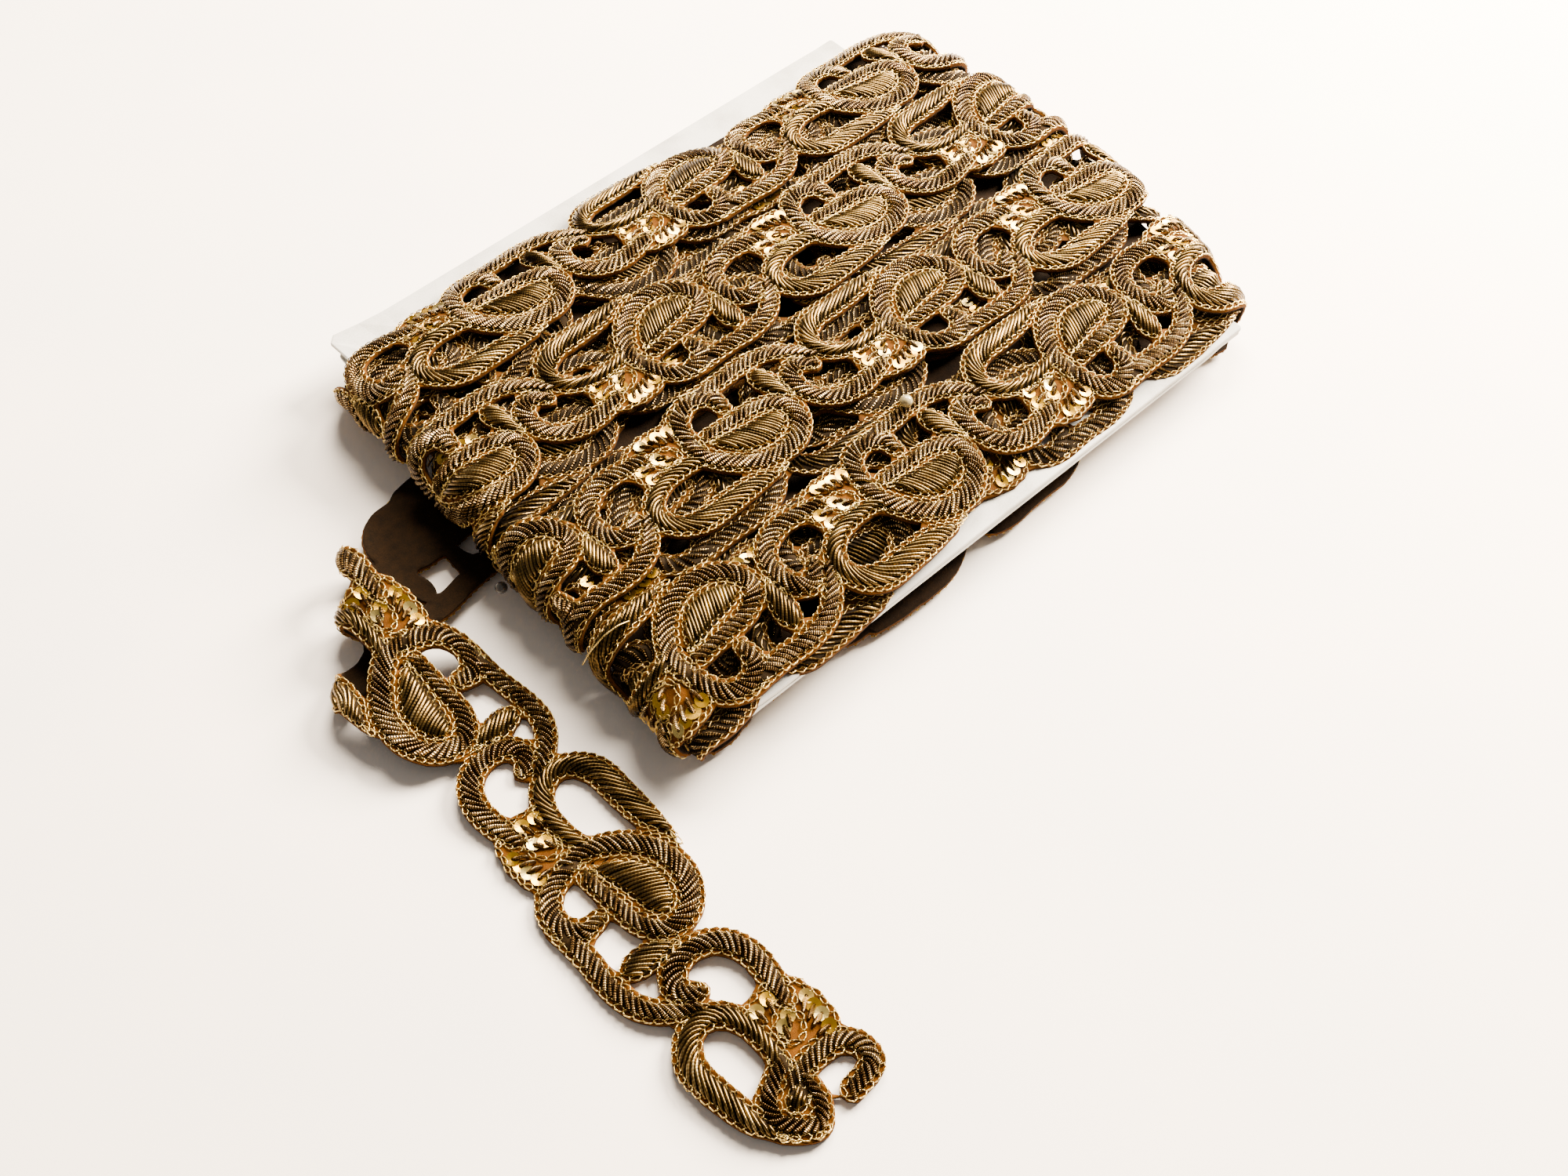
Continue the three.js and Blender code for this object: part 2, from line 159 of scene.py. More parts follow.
TIP_LOOP = Band(3, Thread.SMOOTH, 30, (
    (36, 13.6, 3), (29, 16, 7), (20, 17.6, 8), (10, 18.2, 8.6), (4, 14.5, 8), (2.2, 9.5, 7.5), (4.5, 4, 7.5),
    (10.5, 1.2, 6.8), (18, 0.8, 6.5), (26, 1.8, 6)))
TIP_HOOK = Band(2, Thread.ROUGH, -50, (
    (28.5, 3, 6), (27.8, -6, 7.4), (29, -12.5, 7.2), (33.5, -15.8, 6.8), (38.6, -14.6, 7), (39.8, -6.6, 6.8)))
TIP_BUD = Band(0, Thread.ROUGH, -46, (
    (24, 2, 6), (25.6, 6, 6.6), (28, 10, 7), (32.2, 12, 6.4), (37, 9.6, 7), (40.4, 5, 6),
    (36.4, 1, 6), (30, -0.4, 5)))
TIP_DROP = Filling(1, Thread.SMOOTH, 58, (
    (29, 0.6), (33, 0.8), (35.8, 4), (35.2, 7.6), (32.2, 8.8), (29.8, 5.4)))
TIP_GROUND = Ground(8, (
    (22, 3.5), (30, -1.5), (37, -1.5), (43.6, 4.6), (42, 9.5), (37, 14.8), (31, 15), (26, 10)))
TIP = {"hook": TIP_HOOK, "bud": TIP_BUD, "drop": TIP_DROP, "ground": TIP_GROUND, "loop": TIP_LOOP, "fan": FAN}

EDGE_STITCH = 0.95  # from a band's cut edge to the middle of its chain stitch
WIRE_INSET = 1.4  # from a band's cut edge to the ends of its wires
APART = 100.0  # between bands while their wires are laid straight


def smooth_line(knots: Sequence[Sequence[float]], step: float, closed: bool = False) -> np.ndarray:
    """Draw an even curve through the knots.

    Args:
        knots: points with two or more numbers each.
        step: distance between the points returned, in millimetres.
        closed: whether the curve returns to its start.

    Returns:
        Array of points along the curve, with as many columns as the knots.
    """
    table = np.asarray(knots, float)
    count = len(table)
    if closed:
        spans = [(table[(i - 1) % count], table[i], table[(i + 1) % count], table[(i + 2) % count])
                 for i in range(count)]
    else:
        first, last = 2 * table[0] - table[1], 2 * table[-1] - table[-2]
        padded = np.vstack([first, table, last])
        spans = [tuple(padded[i:i + 4]) for i in range(count - 1)]
    dense = []
    for a, b, c, d in spans:
        knot = [0.0]
        for p, q in ((a, b), (b, c), (c, d)):
            knot.append(knot[-1] + math.sqrt(max(np.linalg.norm((q - p)[:2]), 1e-6)))
        for u in np.linspace(knot[1], knot[2], 16, endpoint=False):
            dense.append(blend_span(a, b, c, d, knot, u))
    dense.append(spans[-1][2])
    points = np.array(dense)
    lengths = run_lengths(points)
    marks = np.linspace(0, lengths[-1], max(3, round(lengths[-1] / step)) + 1)
    return np.stack([np.interp(marks, lengths, points[:, i]) for i in range(points.shape[1])], 1)


def run_lengths(line: np.ndarray) -> np.ndarray:
    """How far along a line each of its points lies."""
    return np.concatenate([[0], np.cumsum(np.linalg.norm(np.diff(line[:, :2], axis=0), axis=1))])


def directions(line: np.ndarray) -> tuple[np.ndarray, np.ndarray]:
    """Unit vectors along and across a line at each of its points."""
    along = np.gradient(line[:, :2], axis=0)
    along /= np.maximum(np.linalg.norm(along, axis=1), 1e-9)[:, None]
    return along, np.column_stack([-along[:, 1], along[:, 0]])


def ring_faces(rows: int, ring: int, ends: bool = False) -> list[list[int]]:
    """Join rows of points, each row a closed ring.

    Args:
        rows: how many rows.
        ring: points in a row.
        ends: whether the first and last row are closed with a face.

    Returns:
        The faces' point numbers.
    """
    faces = [[i * ring + j, i * ring + (j + 1) % ring, (i + 1) * ring + (j + 1) % ring, (i + 1) * ring + j]
             for i in range(rows - 1) for j in range(ring)]
    if ends:
        faces.append(list(range(ring))[::-1])
        faces.append([(rows - 1) * ring + j for j in range(ring)])
    return faces


def blend_span(a: np.ndarray, b: np.ndarray, c: np.ndarray, d: np.ndarray, knot: Sequence[float],
               u: float) -> np.ndarray:
    """Find one point of a centripetal curve between b and c.

    Args:
        a, b, c, d: four knots in a row.
        knot: their parameters.
        u: parameter of the point.

    Returns:
        The point.
    """
    ab = a + (b - a) * (u - knot[0]) / (knot[1] - knot[0])
    bc = b + (c - b) * (u - knot[1]) / (knot[2] - knot[1])
    cd = c + (d - c) * (u - knot[2]) / (knot[3] - knot[2])
    abc = ab + (bc - ab) * (u - knot[0]) / (knot[2] - knot[0])
    bcd = bc + (cd - bc) * (u - knot[1]) / (knot[3] - knot[1])
    return abc + (bcd - abc) * (u - knot[1]) / (knot[2] - knot[1])


def band_depth(points: np.ndarray, line: np.ndarray) -> np.ndarray:
    """Measure how far points lie outside a band.

    Args:
        points: places along and across.
        line: middle of the band, with its full width.

    Returns:
        Distance from the band's edge, negative inside it.
    """
    a, b = line[:-1], line[1:]
    span = b[:, :2] - a[:, :2]
    rel = points[:, None, :] - a[None, :, :2]
    part = np.clip((rel * span).sum(2) / np.maximum((span ** 2).sum(1), 1e-9), 0, 1)
    away = np.linalg.norm(rel - part[..., None] * span, axis=2)
    return (away - (a[:, 2] + (b[:, 2] - a[:, 2]) * part) / 2).min(1)


def ring_depth(points: np.ndarray, ring: np.ndarray) -> np.ndarray:
    """Measure how far points lie outside a closed outline.

    Args:
        points: places along and across.
        ring: corners of the outline.

    Returns:
        Distance from the outline, negative inside it.
    """
    a, b = ring[:, :2], np.roll(ring[:, :2], -1, axis=0)
    span = b - a
    rel = points[:, None, :] - a[None]
    part = np.clip((rel * span).sum(2) / np.maximum((span ** 2).sum(1), 1e-9), 0, 1)
    away = np.linalg.norm(rel - part[..., None] * span, axis=2).min(1)
    s, t = points[:, 0:1], points[:, 1:2]
    crosses = ((a[:, 1] > t) != (b[:, 1] > t)) & (
        s < a[:, 0] + (t - a[:, 1]) * span[:, 0] / np.where(span[:, 1] == 0, 1e-9, span[:, 1]))
    return np.where(crosses.sum(1) % 2 == 1, -away, away)


@dataclass(frozen=True)
class Shape:
    """One motif laid out in a strip: its outline, its rank and how far a point is from it."""

    rank: int
    motif: Band | Filling | Ground | Fan
    line: np.ndarray

    @staticmethod
    def of(motif: Band | Filling | Ground | Fan, start: float = 0.0, side: int = 1) -> "Shape":
        """Lay a motif out.

        Args:
            motif: the motif.
            start: where its half repeat starts.
            side: 1, or -1 for a mirrored half repeat.

        Returns:
            The shape.
        """
        is_band = isinstance(motif, Band)
        line = smooth_line(motif.line if is_band else motif.outline, 1.6, closed=not is_band)
        line = line.copy()
        line[:, 0] += start
        line[:, 1] *= side
        return Shape(motif.rank, motif, line if is_band else line[:-1])

    def depth(self, points: np.ndarray) -> np.ndarray:
        """Distance of each point from the edge, negative inside."""
        if isinstance(self.motif, Band):
            return band_depth(points, self.line)
        return ring_depth(points, self.line)

    def near(self, points: np.ndarray, margin: float) -> np.ndarray:
        """Which points are within the margin of the shape's box."""
        low, high = self.line[:, :2].min(0) - margin, self.line[:, :2].max(0) + margin
        return ((points > low) & (points < high)).all(1)


# Loose mesh data


@dataclass
class Patch:
    """Mesh data before it is a mesh: millimetres, one finish number a face."""

    points: np.ndarray
    corners: np.ndarray
    counts: np.ndarray
    finish: np.ndarray
    uv: np.ndarray
    anchor: np.ndarray
    smooth: np.ndarray

    @staticmethod
    def made(points: Sequence, faces: Sequence[Sequence[int]], finish: int = 0, uv: np.ndarray | None = None,
             smooth: bool = True) -> "Patch":
        """Gather points and faces.

        Args:
            points: places, three numbers each.
            faces: rings of point numbers.
            finish: number of the finish.
            uv: two numbers a corner, or None to take the flat places.
            smooth: whether the shading is smooth.

        Returns:
            The patch.
        """
        places = np.asarray(points, float).reshape(-1, 3)
        corners = np.array([i for face in faces for i in face], int)
        counts = np.array([len(face) for face in faces], int)
        flat = places[corners][:, :2] if uv is None else np.asarray(uv, float)
        total = len(faces)
        return Patch(places, corners, counts, np.full(total, finish), flat, places[:, :2].copy(),
                     np.full(total, smooth))

    @staticmethod
    def joined(parts: Iterable["Patch"]) -> "Patch":
        """Join patches into one."""
        found = [part for part in parts if len(part.points)]
        starts = np.cumsum([0] + [len(part.points) for part in found])
        return Patch(
            np.concatenate([part.points for part in found]),
            np.concatenate([part.corners + start for part, start in zip(found, starts)]),
            np.concatenate([part.counts for part in found]),
            np.concatenate([part.finish for part in found]),
            np.concatenate([part.uv for part in found]),
            np.concatenate([part.anchor for part in found]),
            np.concatenate([part.smooth for part in found]))

    def turned_over(self) -> tuple[np.ndarray, np.ndarray]:
        """Corners and their coordinates with every face wound the other way."""
        starts = np.concatenate([[0], np.cumsum(self.counts)[:-1]])
        face = np.repeat(np.arange(len(self.counts)), self.counts)
        order = starts[face] * 2 + self.counts[face] - 1 - np.arange(len(self.corners))
        return self.corners[order], self.uv[order]

    def laid(self, start: float, side: int) -> "Patch":
        """Move a half repeat to its place in a strip.

        Args:
            start: where the half repeat starts.
            side: 1, or -1 to mirror it.

        Returns:
            The moved patch.
        """
        points, anchor = self.points.copy(), self.anchor.copy()
        points[:, 0] += start
        anchor[:, 0] += start
        corners, uv = self.corners, self.uv
        if side < 0:
            points[:, 1] *= -1
            anchor[:, 1] *= -1
            corners, uv = self.turned_over()
        return Patch(points, corners, self.counts, self.finish, uv, anchor, self.smooth)

    def kept(self, wanted: np.ndarray) -> "Patch":
        """Keep the faces whose first corner is wanted.

        Args:
            wanted: one truth value a point, the same all over a wire or link.

        Returns:
            The smaller patch.
        """
        starts = np.concatenate([[0], np.cumsum(self.counts)[:-1]])
        stays = wanted[self.corners[starts]]
        loops = np.repeat(stays, self.counts)
        number = np.cumsum(wanted) - 1
        return Patch(self.points[wanted], number[self.corners[loops]], self.counts[stays], self.finish[stays],
                     self.uv[loops], self.anchor[wanted], self.smooth[stays])

    def placed(self, place: Place) -> "Patch":
        """Bend the patch into its place in the object."""
        bent = place(self.points[:, 0], self.points[:, 1], self.points[:, 2])
        return Patch(bent, self.corners, self.counts, self.finish, self.uv, self.anchor, self.smooth)

    def triangles(self) -> int:
        """How many triangles the patch has."""
        return int((self.counts - 2).sum())

    def mesh(self, name: str, finishes: Sequence["Finish"]) -> bpy.types.Mesh:
        """Make the mesh, in metres.

        Args:
            name: its name.
            finishes: the finishes that the faces' numbers stand for.

        Returns:
            The mesh.
        """
        mesh = bpy.data.meshes.new(name)
        mesh.vertices.add(len(self.points))
        mesh.vertices.foreach_set("co", (self.points * MM).astype(np.float32).ravel())
        mesh.loops.add(len(self.corners))
        mesh.loops.foreach_set("vertex_index", self.corners.astype(np.int32))
        mesh.polygons.add(len(self.counts))
        starts = np.concatenate([[0], np.cumsum(self.counts)[:-1]])
        mesh.polygons.foreach_set("loop_start", starts.astype(np.int32))
        used = sorted(set(self.finish.tolist()))
        slots = np.zeros(max(used) + 1, np.int32)
        slots[used] = np.arange(len(used))
        for number in used:
            mesh.materials.append(finishes[number].material())
        mesh.polygons.foreach_set("material_index", slots[self.finish])
        mesh.polygons.foreach_set("use_smooth", self.smooth)
        mesh.uv_layers.new(name=UV_NAME)
        mesh.uv_layers[UV_NAME].data.foreach_set("uv", self.uv.astype(np.float32).ravel())
        mesh.update(calc_edges=True)
        mesh.validate()
        return mesh


def show(mesh: bpy.types.Mesh, name: str) -> bpy.types.Object:
    """Put a mesh in the scene at the origin.

    Args:
        mesh: the mesh, with its place in it.
        name: the object's name.

    Returns:
        The object.
    """
    piece = bpy.data.objects.new(name, mesh)
    bpy.context.scene.collection.objects.link(piece)
    return piece


# Finishes


def linear(colour: str) -> tuple[float, float, float, float]:
    """Turn an sRGB hex colour linear.

    Args:
        colour: six hex digits after a hash.

    Returns:
        Linear red, green, blue and a solid alpha.
    """
    parts = [int(colour[i:i + 2], 16) / 255 for i in (1, 3, 5)]
    red, green, blue = (p / 12.92 if p <= 0.04045 else ((p + 0.055) / 1.055) ** 2.4 for p in parts)
    return red, green, blue, 1.0


def put(tree: bpy.types.NodeTree, kind: str, inputs: dict[Any, Any] | None = None,
        stops: Sequence[tuple[float, str]] = (), **settings: Any) -> bpy.types.Node:
    """Add one node with its settings and links.

    Args:
        tree: the node tree.
        kind: the node's type.
        inputs: socket name or number, to a constant or the socket that feeds it.
        stops: places and colours of a colour ramp.
        **settings: the node's own settings.

    Returns:
        The node.
    """
    node = tree.nodes.new(kind)
    for name, value in settings.items():
        setattr(node, name, value)
    for index, (place, colour) in enumerate(stops):
        element = node.color_ramp.elements[index] if index < 2 else node.color_ramp.elements.new(place)
        element.position = place
        element.color = linear(colour)
    for key, value in (inputs or {}).items():
        if isinstance(value, bpy.types.NodeSocket):
            tree.links.new(value, node.inputs[key])
        else:
            node.inputs[key].default_value = value
    return node


def calc(tree: bpy.types.NodeTree, operation: str, *values: Any) -> bpy.types.NodeSocket:
    """Add one sum on constants or sockets."""
    return put(tree, "ShaderNodeMath", dict(enumerate(values)), operation=operation).outputs[0]


def spot(tree: bpy.types.NodeTree) -> bpy.types.NodeSocket:
    """Add the place in the object."""
    return put(tree, "ShaderNodeTexCoord").outputs["Object"]


def island(tree: bpy.types.NodeTree) -> bpy.types.NodeSocket:
    """Add a random number for each wire, stitch or sequin."""
    return put(tree, "ShaderNodeNewGeometry").outputs["Random Per Island"]


def noise(tree: bpy.types.NodeTree, size: float, detail: float = 2.0,
          roughness: float = 0.5) -> bpy.types.NodeSocket:
    """Add noise with spots of a size in millimetres."""
    return put(tree, "ShaderNodeTexNoise", {"Vector": spot(tree), "Scale": 1 / (size * MM), "Detail": detail,
                                            "Roughness": roughness}).outputs["Fac"]


def ramp(tree: bpy.types.NodeTree, value: bpy.types.NodeSocket,
         *stops: tuple[float, str]) -> bpy.types.NodeSocket:
    """Add a colour ramp."""
    return put(tree, "ShaderNodeValToRGB", {"Fac": value}, stops=stops).outputs["Color"]


def coil(tree: bpy.types.NodeTree, pitch: float) -> bpy.types.NodeSocket:
    """Add the rings of a wire or twisted thread, from its own coordinates in millimetres."""
    along = put(tree, "ShaderNodeUVMap", uv_map=UV_NAME).outputs["UV"]
    split = put(tree, "ShaderNodeSeparateXYZ", {"Vector": along}).outputs
    slant = calc(tree, "MULTIPLY", split["X"], 2 * math.pi)
    return calc(tree, "SINE", calc(tree, "MULTIPLY_ADD", split["Y"], 2 * math.pi / pitch, slant))


def shaded(tree: bpy.types.NodeTree, colour: bpy.types.NodeSocket, roughness: float, more: dict[str, Any],
           bump: tuple[bpy.types.NodeSocket, float, float] | None = None) -> bpy.types.NodeSocket:
    """Add the surface itself.

    Args:
        tree: the node tree.
        colour: its colour.
        roughness: its roughness.
        more: values of other inputs.
        bump: height, strength and depth in millimetres of its fine relief, or None.

    Returns:
        The surface's socket.
    """
    inputs = {"Base Color": colour, "Roughness": roughness, **more}
    if bump is not None:
        height, strength, depth = bump
        inputs["Normal"] = put(tree, "ShaderNodeBump", {
            "Height": height, "Strength": strength, "Distance": depth * MM}).outputs["Normal"]
    return put(tree, "ShaderNodeBsdfPrincipled", inputs).outputs["BSDF"]


@dataclass(frozen=True)
class Finish:
    """A surface of the trim or card, made once as a material."""

    name: str

    def material(self) -> bpy.types.Material:
        """The material, built the first time it is asked for."""
        found = bpy.data.materials.get(self.name)
        if found is None:
            found = bpy.data.materials.new(self.name)
            found.use_nodes = True
            found.node_tree.nodes.clear()
            surface = self.surface(found.node_tree)
            put(found.node_tree, "ShaderNodeOutputMaterial", {"Surface": surface})
        return found

    def surface(self, tree: bpy.types.NodeTree) -> bpy.types.NodeSocket:
        """Build the surface in a node tree and give its output."""
        raise NotImplementedError


@dataclass(frozen=True)
class Felted(Finish):
    """Wool felt or cotton velvet: dull, with a soft rim of fibres and a mottled dye."""

    colour: str
    deep: str
    fibre: float = 0.35  # fibre spacing in millimetres, drawn coarser than the real 0.02 so that it shows
    sheen: float = 0.35

    def surface(self, tree: bpy.types.NodeTree) -> bpy.types.NodeSocket:
        """Mottled dye, fine fibres and a soft sheen."""
        fibre = noise(tree, self.fibre, 3.0, 0.7)
        both = calc(tree, "ADD", noise(tree, 3.0, 4.0), fibre)
        colour = ramp(tree, calc(tree, "MULTIPLY", both, 0.5), (0.32, self.deep), (0.68, self.colour))
        return shaded(tree, colour, 0.95, {
            "Sheen Weight": self.sheen, "Sheen Roughness": 0.5, "Sheen Tint": linear(self.colour),
            "Specular IOR Level": 0.1}, (fibre, 0.6, 0.25))


@dataclass(frozen=True)
class Bullion(Finish):
    """Coiled metal wire, tarnished gold: each wire its own tone, with the rings of the coil across it in
    painted light and shade.
    """

    # The first colour is painted shade for the hollows and the last a painted highlight; the middle one is
    # the wire's own tone.
    deep: str
    colour: str
    highlight_tone: str
    ring: float  # pitch of the coil in millimetres, drawn coarser than the real 0.2 to 0.3
    rough: float
    relief: float
    # Brightens random facets as painted glints, and raises their bump.
    facet_glint: float
    # Painted shade and highlight: how much darker the grooves between the rings are, and how much lighter
    # their crests.
    groove_shade: float  # how much darker the grooves between the rings are

    def surface(self, tree: bpy.types.NodeTree) -> bpy.types.NodeSocket:
        """Tone a wire, paint the rings of the coil from the thread's own coordinates lighter on their crests
        and darker in their grooves as painted light and shade, and brighten random facets as painted glints
        that also get a bump.
        """
        ring = coil(tree, self.ring)
        facet = put(tree, "ShaderNodeTexVoronoi", {"Vector": spot(tree), "Scale": 1 / (0.7 * MM)})
        spark = put(tree, "ShaderNodeSeparateColor", {"Color": facet.outputs["Color"]}).outputs
        worn = calc(tree, "MULTIPLY", noise(tree, 6.0, 3.0), 0.4)
        tone = calc(tree, "MULTIPLY_ADD", island(tree), 0.26, worn)
        # Painted glints on random facets.
        tone = calc(tree, "MULTIPLY_ADD", spark["Red"], self.facet_glint, tone)
        # Painted shade in the coil's grooves and painted highlight on its crests.
        tone = calc(tree, "MULTIPLY_ADD", ring, self.groove_shade, tone)
        colour = ramp(tree, tone, (0.18, self.deep), (0.85, self.highlight_tone), (0.48, self.colour))
        height = calc(tree, "MULTIPLY_ADD", spark["Green"], self.facet_glint * 1.2, ring)
        return shaded(tree, colour, self.rough, {"Metallic": 1.0}, (height, 1.0, self.relief * 0.14))


@dataclass(frozen=True)
class MetallisedThread(Finish):
    """Thread wrapped in pale metal foil: half shiny, twisted, a little brown in its hollows as painted shade.
    """

    deep: str
    colour: str
    twist: float = 0.6  # pitch of the twist in millimetres

    def surface(self, tree: bpy.types.NodeTree) -> bpy.types.NodeSocket:
        """Twist of the foil along the thread, in the bump and as painted shade in its hollows, and a tone a
        stitch.
        """
        wave = coil(tree, self.twist)
        tone = calc(tree, "MULTIPLY_ADD", island(tree), 0.3, noise(tree, 2.5, 3.0))
        # Painted shade: the hollows of the twist darker.
        tone = calc(tree, "MULTIPLY_ADD", wave, 0.12, tone)
        colour = ramp(tree, tone, (0.3, self.deep), (0.75, self.colour))
        return shaded(tree, colour, 0.3, {"Metallic": 0.85}, (wave, 0.7, 0.05))


@dataclass(frozen=True)
class SequinFoil(Finish):
    """Thin metallised disc: mirror-like, with slight ripples from stamping, each its own tone."""

    colour: str
    other: str

    def surface(self, tree: bpy.types.NodeTree) -> bpy.types.NodeSocket:
        """Mirror with a slow ripple."""
        colour = ramp(tree, island(tree), (0.15, self.other), (0.45, self.colour))
        return shaded(tree, colour, 0.26, {"Metallic": 1.0}, (noise(tree, 1.6, 1.0), 0.3, 0.06))


@dataclass(frozen=True)
class Board(Finish):
    """Matt white paper board: faint fibres and a little grey soiling."""

    colour: str
    soiled: str

    def surface(self, tree: bpy.types.NodeTree) -> bpy.types.NodeSocket:
        """Paper fibres and soiling."""
        fibre = noise(tree, 0.5, 4.0)
        both = calc(tree, "MULTIPLY_ADD", fibre, 0.4, noise(tree, 18.0, 3.0))
        colour = ramp(tree, both, (0.45, self.soiled), (0.75, self.colour))
        return shaded(tree, colour, 0.85, {"Specular IOR Level": 0.25}, (fibre, 0.3, 0.1))


@dataclass(frozen=True)
class Bead(Finish):
    """Pressed glass or pearl: smooth, with a clear gloss."""

    colour: str
    pale: str
    clear: float

    def surface(self, tree: bpy.types.NodeTree) -> bpy.types.NodeSocket:
        """Gloss over a cloudy body."""
        colour = ramp(tree, noise(tree, 1.5), (0.3, self.colour), (0.7, self.pale))
        return shaded(tree, colour, 0.12, {
            "Coat Weight": 0.6, "Coat Roughness": 0.08, "Transmission Weight": self.clear})


@dataclass(frozen=True)
class Sweep(Finish):
    """Pale paper sweep under the trim: matt, almost even."""

    deep: str
    colour: str

    def surface(self, tree: bpy.types.NodeTree) -> bpy.types.NodeSocket:
        """Matt paper."""
        colour = ramp(tree, noise(tree, 90.0), (0.2, self.deep), (0.8, self.colour))
        return shaded(tree, colour, 0.7, {"Specular IOR Level": 0.2})


OCHRE_FELT, BROWN_VELVET, SMOOTH_WIRE, ROUGH_WIRE, STITCH, SEQUIN, PADDING = range(7)
FINISHES: tuple[Finish, ...] = (
    Felted("ochre wool felt", "#5A3300", "#341B00", 0.35, 0.03),
    Felted("brown cotton velvet", "#201203", "#0D0600", 0.5, 0.08),
    Bullion("smooth bullion", "#1D1507", "#775E32", "#F8DFA0", 0.5, 0.28, 0.06, 0.07, 0.05),
    Bullion("rough bullion", "#170F05", "#694F2A", "#FAE1A6", 0.5, 0.26, 0.9, 0.14, 0.15),
    MetallisedThread("pale metallised thread", "#48340E", "#E8C672"),
    SequinFoil("gold sequin foil", "#C4961E", "#CDB468"),
    Felted("bronze padding cord", "#261904", "#0F0802", 0.5, 0.03),
)
# Darker copies of the finishes for the turns below, the underside and the wound core: painted shade for the
# layers that lie under the outer turns.
SHADED: tuple[Finish, ...] = (
    Felted("ochre wool felt in shade", "#4E2C00", "#2C1700", 0.35, 0.03),
    Felted("brown cotton velvet in shade", "#1C0F02", "#0C0500", 0.5, 0.06),
    Bullion("smooth bullion, tarnished", "#1A1306", "#6C552C", "#EED294", 0.5, 0.3, 0.06, 0.07, 0.05),
    Bullion("rough bullion, tarnished", "#150E04", "#5E4625", "#F0D59A", 0.5, 0.29, 0.9, 0.14, 0.15),
    MetallisedThread("metallised thread, tarnished", "#402C0C", "#DEB96C"),
    SequinFoil("gold sequin foil, dulled", "#B4881C", "#BCA45E"),
    Felted("bronze padding cord in shade", "#201504", "#0C0601", 0.5, 0.03),
)
WHITE_BOARD = Board("white paper board", "#C2C0BA", "#A3A099")
CREAM_GLASS = Bead("cream glass bead", "#8F7E4E", "#C9BB8C", 0.3)
GREY_GLASS = Bead("grey glass bead", "#2E2A26", "#6A645C", 0.4)


# Small repeated shapes: a few dozen faces each


def tube_patch(path: np.ndarray, radii: Sequence[float], sides: int, closed: bool, run: float) -> Patch:
    """Make a thin tube along a path that rises above the felt.

    Args:
        path: middle points.
        radii: radius at each point.
        sides: corners of its section.
        closed: whether it is a ring.
        run: length in millimetres that the second coordinate stands for.

    Returns:
        The tube, closed at its ends.
    """
    count = len(path)
    points = []
    for i, middle in enumerate(path):
        before = path[(i - 1) % count] if closed or i else path[i]
        after = path[(i + 1) % count] if closed or i < count - 1 else path[i]
        along = (after - before) / max(np.linalg.norm(after - before), 1e-9)
        across = np.cross([0, 0, 1.0], along)
        across /= max(np.linalg.norm(across), 1e-9)
        up = np.cross(along, across)
        for j in range(sides):
            angle = 2 * math.pi * j / sides + math.pi / 2
            points.append(middle + radii[i] * (math.cos(angle) * across + math.sin(angle) * up))
    faces, uv = [], []
    for i in range(count if closed else count - 1):
        k = (i + 1) % count
        for j in range(sides):
            m = (j + 1) % sides
            faces.append((i * sides + j, i * sides + m, k * sides + m, k * sides + j))
            uv += [(j / sides, run * i / count), ((j + 1) / sides, run * i / count),
                   ((j + 1) / sides, run * (i + 1) / count), (j / sides, run * (i + 1) / count)]
    if not closed:
        faces.append(tuple(range(sides))[::-1])
        faces.append(tuple((count - 1) * sides + j for j in range(sides)))
        uv += [(0, 0)] * (2 * sides)
    return outward(Patch.made(points, faces, uv=uv))


def outward(patch: Patch) -> Patch:
    """Wind a closed patch so that its faces point outwards."""
    starts = np.concatenate([[0], np.cumsum(patch.counts)[:-1]])
    volume = 0.0
    for start, count in zip(starts, patch.counts):
        ring = patch.points[patch.corners[start:start + count]]
        for i in range(1, count - 1):
            volume += float(np.dot(ring[0], np.cross(ring[i], ring[i + 1])))
    if volume < 0:
        patch.corners, patch.uv = patch.turned_over()
    return patch


@dataclass(frozen=True)
class WireShape:
    """One length of bullion, from -1 to 1 along, arched over the padding."""

    stations: tuple[float, ...] = (-1, -0.66, -0.24, 0.24, 0.66, 1)
    sides: int = 4
    radius: float = 0.54
    low: float = 1.55
    high: float = 2.72
    nominal: float = 9.0  # length in millimetres that its rings are drawn for
    half: float = 4.5  # half the length that it is shaped at
    thin: float = 0.75  # how much thinner its ends are
    past: float = 1.04  # how far its ends may reach

    def patch(self) -> Patch:
        """The arched wire."""
        x = np.array(self.stations)
        z = self.low + (self.high - self.low) * np.maximum(1 - x ** 2, 0) ** 0.7
        path = np.stack([x * self.half, np.zeros_like(x), z], 1)
        radii = [self.radius * (self.thin if abs(v) == 1 else 1) for v in x]
        made = tube_patch(path, radii, self.sides, False, self.nominal)
        made.points[:, 0] = np.clip(made.points[:, 0] / self.half, -self.past, self.past)
        return made


@dataclass(frozen=True)
class LinkShape:
    """One chain stitch: a teardrop of thread that lies on the felt, its point under the next."""

    outline: tuple[tuple[float, float], ...] = (
        (-1.65, 0), (-0.6, 0.58), (0.75, 0.76), (1.5, 0.0), (0.75, -0.76), (-0.6, -0.58))
    sides: int = 3
    radius: float = 0.22
    lift: float = 1.7
    slope: float = 0.16  # its point lies lower than its head
    thread: float = 5.0  # millimetres of thread in it

    def patch(self) -> Patch:
        """The ring of thread."""
        path = np.array([(x, y, self.lift + self.slope * x) for x, y in self.outline])
        return tube_patch(path, [self.radius] * len(path), self.sides, True, self.thread)


